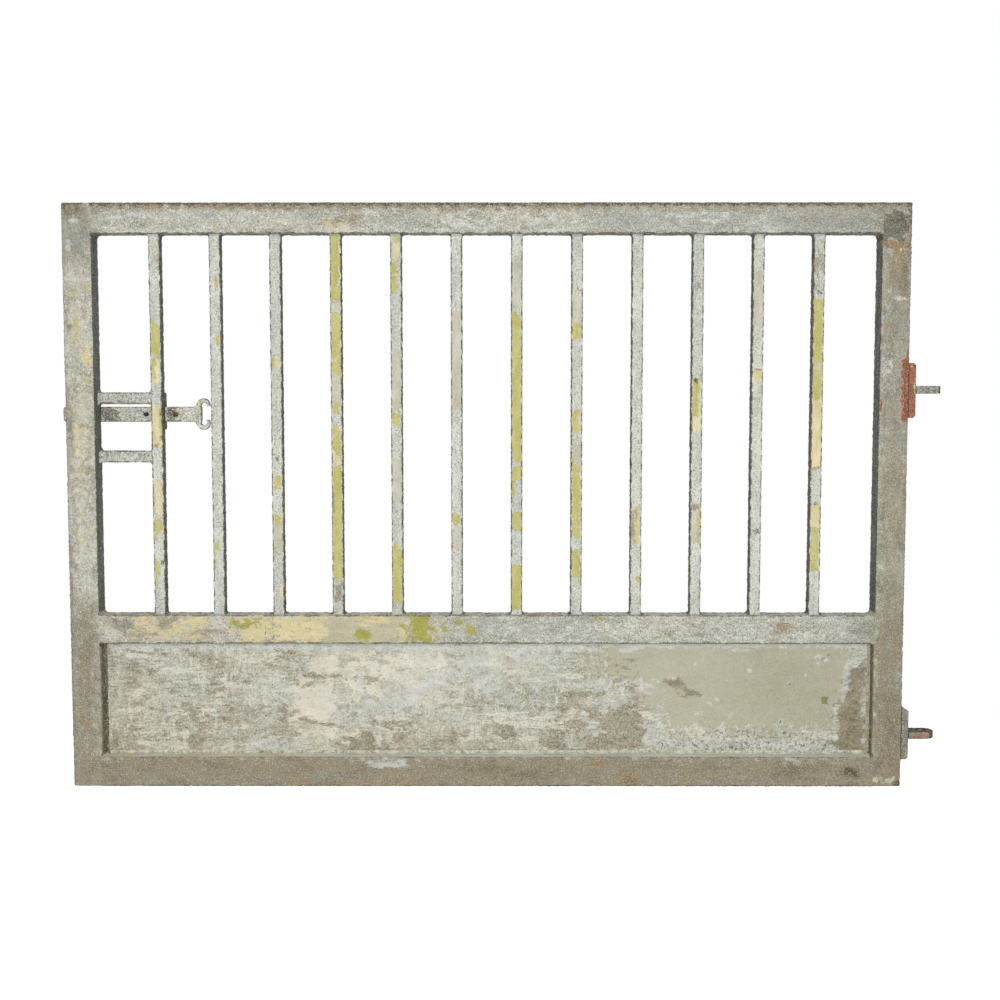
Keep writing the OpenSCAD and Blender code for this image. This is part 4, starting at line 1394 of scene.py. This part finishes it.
# %% List the coats
COAT_LOOKS = {
    "dull": (shade(158, 154, 134), shade(118, 113, 93), 60, 2.6, 0.4, 0.7, 0.2),
    "brown": (shade(166, 150, 122), shade(126, 110, 84), 40, 3.0, 0.3, 0.5, 0.2),
    "cool": (shade(172, 175, 168), shade(144, 148, 142), 34, 2.4, 0.3, 0.72, 0.2),
    "putty": (shade(212, 210, 190), shade(190, 187, 162), 90, 1.6, 0.06, 0.9, 0.5),
    "cream": (shade(238, 226, 184), shade(218, 204, 140), 110, 2.2, 0.05, 0.95, 0.9),
    "lime": (shade(206, 200, 126), shade(190, 185, 102), 110, 2.1, 0.05, 1.0, 0.8),
    # The side and under tones are painted shade, for faces that turn from the front and for those that
    # look down.
    "side": (shade(92, 97, 90), shade(70, 75, 70), 170, 1.3, 0.16, 0.95, 0.2),
    "under": (shade(84, 84, 72), shade(64, 64, 54), 150, 1.2, 0.2, 0.7, 0.0),
    # Stain and soot are also laid as painted shade: in crevices, along edges, and where the stile
    # shades the bolt and the bead.
    "stain": (shade(144, 132, 106), shade(118, 107, 84), 55, 3.0, 0.2, 0.76, 0.4),
    "rust": (shade(170, 138, 98), shade(138, 106, 74), 90, 2.8, 0.2, 0.72, 0.4),
    # Bloom is also laid as painted highlights, on ledges and bands that face the light.
    "bloom_and_highlight": (shade(224, 227, 220), shade(204, 208, 202), 120, 3.4, 0.2, 0.75, 0.2),
    "primer": (shade(172, 100, 72), shade(138, 80, 56), 150, 1.2, 0.06, 1.0, 0.3),
    "soot_and_shade": (shade(84, 77, 54), shade(63, 57, 40), 150, 2.2, 0.14, 0.82, 0.3),
}
SMEARS = ("stain", "dull", "brown", "cool")
RAISED = ("lime", "cream", "primer")
print("coats from the lowest to the topmost:", list(COAT_LOOKS))

# %% [markdown]
# The kick panel was wiped over with a nearly dry brush, up and down and across,
# and wind and rain wore it through again. The stiles have a little of it too.
# Noises that are drawn out along one axis and cut off sharply give such strokes.
# Each layer says how its noise is stretched, its scale, where it is cut, its colour
# and how much it covers.

# %% Build the brush strokes
BRUSH_LAYERS = (((1, 1, 0.5), 15, 0.47, 0.58, shade(164, 156, 132), 0.66),
                ((0.6, 1, 0.8), 24, 0.51, 0.58, shade(200, 205, 193), 0.5),
                ((1, 1, 0.24), 90, 0.54, 0.58, shade(226, 221, 203), 0.7),
                ((0.2, 1, 1), 60, 0.54, 0.58, shade(230, 225, 208), 0.75),
                ((0.14, 1, 1), 110, 0.56, 0.6, shade(140, 130, 105), 0.62),
                ((1, 1, 0.3), 120, 0.57, 0.61, shade(144, 134, 110), 0.5))


def stretched(tree, place, stretch):
    """A place whose patterns are drawn out along the axes that are scaled down."""
    turn = put(tree, "ShaderNodeMapping")
    feed(tree, place, turn.inputs["Vector"])
    turn.inputs["Scale"].default_value = stretch
    return turn.outputs[0]


brush, given, wanted = new_group(
    "brush_strokes", [("Place", PLACE), ("Color", COLOUR), ("Strokes", VALUE)], [("Color", COLOUR)])
colour = given["Color"]
for stretch, scale, low, high, tone, cover in BRUSH_LAYERS:
    streaks = noise(brush, stretched(brush, given["Place"], stretch), scale, 9, 0.72)
    share = calc(brush, "MULTIPLY", given["Strokes"], cover)
    share = calc(brush, "MULTIPLY", ramp(brush, streaks, low, high), share)
    colour = mix(brush, share, colour, tone)
feed(brush, colour, wanted["Color"])
print("group", brush.name, "has", len(brush.nodes), "nodes")

# %% [markdown]
# Now the coats are laid over the ground, one by one, from the lowest to the
# topmost. Their amounts come back from the mesh. A raised coat adds to the height,
# which becomes a bump, and gets its pale rim before its own colour.

# %% Lay the coats over the ground
RIM_PALE = 0.45
COAT_THICK = 0.8


def group_in(tree, group, **values):
    """Places a node group in a material and feeds its inputs."""
    node = put(tree, "ShaderNodeGroup", node_tree=group)
    for name, value in values.items():
        feed(tree, value, node.inputs[name])
    return node.outputs


def stored_amounts(tree):
    """Reads the amount of every coat from the mesh."""
    amounts = {}
    for attribute, three in CHANNELS.items():
        stored = put(tree, "ShaderNodeAttribute", attribute_name=attribute)
        parts = put(tree, "ShaderNodeSeparateColor")
        feed(tree, stored.outputs["Color"], parts.inputs[0])
        for coat, socket in zip(three, parts.outputs):
            amounts[coat] = socket
    return amounts


def lay_coats(tree, colour, height, amounts, looks, place, smeared, smears):
    """Covers a colour and a height with every coat in turn."""
    tone = ramp(tree, noise(tree, smeared, 55, 4, 0.7), 0.36, 0.64)
    for coat, (first, second, grain, ragged, soft, cover, chips) in looks.items():
        patch = group_in(tree, broken, Place=smeared if coat in smears else place,
                         Amount=amounts[coat], Grain=grain, Ragged=ragged, Soft=soft, Chips=chips)
        if coat in RAISED:
            rim = calc(tree, "MULTIPLY", patch["Rim"], RIM_PALE)
            colour = mix(tree, rim, colour, shade(224, 218, 196))
            height = calc(tree, "MULTIPLY_ADD", patch["Mask"], COAT_THICK, height)
        colour = mix(tree, calc(tree, "MULTIPLY", patch["Mask"], cover), colour,
                     mix(tree, tone, second, first))
    return colour, height


print("raised coats:", list(RAISED))

# %% [markdown]
# The finest grain lies on top. Bare metal shows pale and dark grains of less than
# a millimetre. Each kind of grain has the two levels at which the noise is cut, its
# strength and its tone. Every finish uses this, so it is a group like the others.

# %% Build the finest grain
GRAINS = ((0.52, 0.6, 0.9, shade(240, 240, 230)), (0.46, 0.38, 1.1, shade(86, 84, 68)))
finest, given, wanted = new_group(
    "finest_grain", [("Place", PLACE), ("Color", COLOUR), ("Bare", VALUE), ("Gritty", VALUE)],
    [("Color", COLOUR)])
grit = noise(finest, given["Place"], 420, 4, 0.8)
colour = given["Color"]
for low, high, strength, tone in GRAINS:
    share = calc(finest, "MULTIPLY", ramp(finest, grit, low, high), given["Bare"])
    share = calc(finest, "MULTIPLY", share, calc(finest, "MULTIPLY", given["Gritty"], strength))
    colour = mix(finest, share, colour, tone)
feed(finest, colour, wanted["Color"])
print("group", finest.name, "has", len(finest.nodes), "nodes")

# %% [markdown]
# How bare the metal is comes from the coats. Sound paint hides most of the grain,
# and dull dirt hides some of what is left.

# %% Find where the metal is bare
PAINT_HIDES = 0.7
DIRT_HIDES = 0.45


def bareness(tree, amounts):
    """How much of the grain shows, from none to all."""
    painted = calc(tree, "MAXIMUM", amounts["lime"],
                   calc(tree, "MAXIMUM", amounts["cream"], amounts["putty"]))
    bare = calc(tree, "MULTIPLY_ADD", painted, -PAINT_HIDES, 1.0, clamp=True)
    return calc(tree, "MULTIPLY_ADD", amounts["dull"], -DIRT_HIDES, bare, clamp=True)


print("grain left under sound paint:", round(1 - PAINT_HIDES, 2))

# %% [markdown]
# One function puts the whole material together. Chalky zinc and old paint hardly
# shine, so the specular level is low and the roughness high, most of all on the
# dirty sides. Apart from that both are even, because these coats differ in colour
# and height and hardly in gloss.

# %% Build a material of old paint
SHINE = 0.08
ROUGH_FACE = 0.76
ROUGHER_SIDE = 0.2
BUMP_STRENGTH = 0.6
BUMP_DEPTH = 0.7 * MM


def old_paint(name, stretch, light, dark, warm, warmth, flecks, gritty=0.6, strokes=0.0,
              smears=SMEARS, cool=0.5, **own_looks):
    """A material of chalky zinc under what is left of every coat.

    Gritty is how strongly the finest grain shows, strokes is how much of the sheet
    was wiped with a brush, cool is how grey the broad clouds are, and own looks
    replace those of the coats they name.
    """
    material = bpy.data.materials.new(name)
    material.use_nodes = True
    tree = material.node_tree
    surface = tree.nodes["Principled BSDF"]
    place = put(tree, "ShaderNodeTexCoord").outputs["Object"]
    smeared = stretched(tree, place, stretch)
    below = group_in(tree, ground, Place=place, Stretched=smeared, Light=light, Dark=dark,
                     Warm=warm, Warmth=warmth, Cool=cool, Flecks=flecks)
    colour = below["Color"]
    if strokes:
        colour = group_in(tree, brush, Place=place, Color=colour, Strokes=strokes)["Color"]
    amounts = stored_amounts(tree)
    colour, height = lay_coats(tree, colour, below["Height"], amounts,
                               {**COAT_LOOKS, **own_looks}, place, smeared, smears)
    grained = group_in(tree, finest, Place=place, Color=colour, Bare=bareness(tree, amounts),
                       Gritty=gritty)
    feed(tree, grained["Color"], surface.inputs["Base Color"])
    rough = calc(tree, "MULTIPLY_ADD", amounts["side"], ROUGHER_SIDE, ROUGH_FACE, clamp=True)
    feed(tree, rough, surface.inputs["Roughness"])
    surface.inputs["Specular IOR Level"].default_value = SHINE
    bump = put(tree, "ShaderNodeBump")
    bump.inputs["Strength"].default_value = BUMP_STRENGTH
    bump.inputs["Distance"].default_value = BUMP_DEPTH
    feed(tree, height, bump.inputs["Height"])
    feed(tree, bump.outputs[0], surface.inputs["Normal"])
    return material


def finish_with(material, *pieces):
    """Gives each piece one material."""
    for piece in pieces:
        piece.data.materials.clear()
        piece.data.materials.append(material)
    print(material.name, "has", len(material.node_tree.nodes), "nodes, on", len(pieces), "pieces")


# %% [markdown]
# The bars are the palest part of the gate. Stains run down an upright piece and
# along a level one, so each finish says along which axis its clouds are drawn out.
# The crossbars have darker clouds under the same pale zinc.

# %% Finish the bars and the crossbars
UPRIGHT, LEVEL, EVEN = (1, 1, 0.4), (0.4, 1, 1), (1, 1, 1)
finish_with(old_paint("bar_finish", UPRIGHT, shade(228, 230, 218), shade(194, 198, 186),
                      shade(216, 208, 184), 0.4, 0.75), *bars)
finish_with(old_paint("crossbar_finish", LEVEL, shade(222, 224, 214), shade(120, 124, 112),
                      shade(164, 162, 138), 0.4, 1.0, 0.9), *crossbars)

# %% [markdown]
# The frame is a warmer and darker grey than the bars. On the rails the cream and
# lime are smeared along, with more ragged edges, so those coats get looks of their
# own there.

# %% Finish the stiles and the rails
finish_with(old_paint("stile_finish", UPRIGHT, shade(204, 202, 187), shade(158, 156, 141),
                      shade(182, 172, 150), 0.5, 0.8, 0.6, 0.4), latch_stile, hinge_stile)
finish_with(old_paint("rail_finish", (0.35, 1, 1), shade(202, 200, 184), shade(154, 152, 136),
                      shade(180, 170, 147), 0.5, 0.8, 0.6, 0.0, (*SMEARS, "cream", "bloom_and_highlight"),
                      putty=(shade(198, 193, 164), shade(184, 178, 146), 90, 1.6, 0.06, 0.92, 0.4),
                      cream=(shade(232, 217, 170), shade(216, 201, 148), 170, 3.2, 0.1, 0.92, 1.0),
                      lime=(shade(182, 179, 88), shade(160, 158, 62), 130, 2.8, 0.08, 0.96, 1.0)),
            top_rail, mid_rail, bottom_rail)

# %% [markdown]
# The sheet has the brush strokes, putty that nearly hides it on the right, and
# stains with crisp edges. The bead round it is a browner grey, with a pale painted
# highlight in cream along its foot.

# %% Finish the kick panel and its bead
finish_with(old_paint("panel_finish", (0.5, 1, 1), shade(204, 202, 184), shade(182, 179, 159),
                      shade(180, 172, 148), 0.5, 0.4, 0.5, 1.0, (*SMEARS, "cream", "bloom_and_highlight"),
                      putty=(shade(192, 189, 167), shade(186, 183, 160), 45, 1.8, 0.05, 0.97, 0.2),
                      cream=(shade(236, 230, 212), shade(224, 217, 196), 70, 2.4, 0.06, 0.92, 0.8),
                      lime=(shade(146, 146, 84), shade(120, 120, 64), 110, 2.1, 0.05, 1.0, 0.4),
                      under=(shade(164, 160, 136), shade(158, 154, 130), 24, 0.3, 0.5, 0.7, 0.0),
                      stain=(shade(158, 148, 122), shade(134, 124, 99), 50, 3.2, 0.1, 0.76, 0.3)),
            kick_panel)
finish_with(old_paint("bead_finish", EVEN, shade(176, 169, 148), shade(136, 128, 106),
                      shade(160, 146, 120), 0.5, 0.4, cool=0.0,
                      # The bead's cream lies only along its foot, as a painted highlight.
                      cream=(shade(238, 232, 212), shade(226, 219, 196), 110, 2.2, 0.1, 0.95, 0.3)),
            panel_bead)

# %% [markdown]
# The bolt is rubbed pale over dark clouds. Its guides have turned olive, and its
# stops are brown with rust. The upper pad still has its red primer, the lower pad
# and the upper lug are grey, and the lower lug is a pinkish brown.

# %% Finish the bolt and the hinges
finish_with(old_paint("bolt_finish", LEVEL, shade(240, 236, 220), shade(114, 108, 88),
                      shade(190, 176, 146), 0.5, 1.0, 1.0), bolt)
finish_with(old_paint("guide_finish", EVEN, shade(112, 106, 40), shade(66, 62, 20),
                      shade(104, 84, 34), 0.5, 0.1, 0.15, cool=0.0), guide)
finish_with(old_paint("stop_finish", EVEN, shade(66, 46, 34), shade(38, 28, 22),
                      shade(84, 56, 38), 0.6, 0.1, 0.1, cool=0.0), *stops)
finish_with(old_paint("upper_pad_finish", EVEN, shade(174, 102, 72), shade(138, 80, 56),
                      shade(188, 124, 92), 0.3, 0.1, 0.3, cool=0.0), pads[0])
finish_with(old_paint("lower_pad_finish", UPRIGHT, shade(152, 152, 136), shade(120, 120, 106),
                      shade(134, 122, 100), 0.5, 0.25, 0.5, cool=0.0), pads[1])
finish_with(old_paint("upper_lug_finish", LEVEL, shade(152, 152, 142), shade(118, 118, 108),
                      shade(136, 126, 108), 0.5, 0.4, cool=0.0), lugs[0])
finish_with(old_paint("lower_lug_finish", LEVEL, shade(158, 136, 118), shade(112, 96, 82),
                      shade(156, 114, 90), 0.6, 0.1, 0.3, cool=0.0), lugs[1])

# %% [markdown]
# ## Tie it all together
# Every piece says which body it moves with and which pieces of the frame it
# stands for, and those pieces are hidden. The bolt and its two stops slide, and
# all the rest is the leaf. The small welds have no pieces of their own, because
# they are part of the flared ends of what they join.

# %% Tie every piece to its body and its frame pieces
def belongs(piece, body, slot, *nodes):
    """The piece moves with a body and stands for these nodes; slot is not used."""
    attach(piece, body)
    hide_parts(*nodes)


for name, piece in FRAME_PIECES.items():
    belongs(piece, "leaf", "panel_sheet" if name == "kick_panel" else "frame_metal", name)
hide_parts("frame_corner_welds")
for name, piece in zip(bar_names, bars):
    belongs(piece, "leaf", "bar_metal", name, "top_rail_welds", "mid_rail_welds")
for name, piece in zip(("latch_crossbar_upper", "latch_crossbar_lower"), crossbars):
    belongs(piece, "leaf", "bar_metal", name, "crossbar_welds")
belongs(panel_bead, "leaf", "weld_metal", "kick_panel_weld")
belongs(bolt, "bolt", "bolt_metal", "slide_bolt")
belongs(stops[0], "bolt", "rusty_steel", "bolt_stop_outer")
belongs(stops[1], "bolt", "rusty_steel", "bolt_stop_inner")
belongs(guide, "leaf", "guide_metal", "bolt_guide")
belongs(pads[0], "leaf", "red_primer", "hinge_pad_upper")
belongs(pads[1], "leaf", "frame_metal", "hinge_pad_lower")
belongs(lugs[0], "leaf", "hinge_metal", "hinge_lug_upper")
belongs(lugs[1], "leaf", "hinge_metal", "hinge_lug_lower")
print("pieces tied:", len(FRAME_PIECES) + len(bars) + len(FITTINGS))
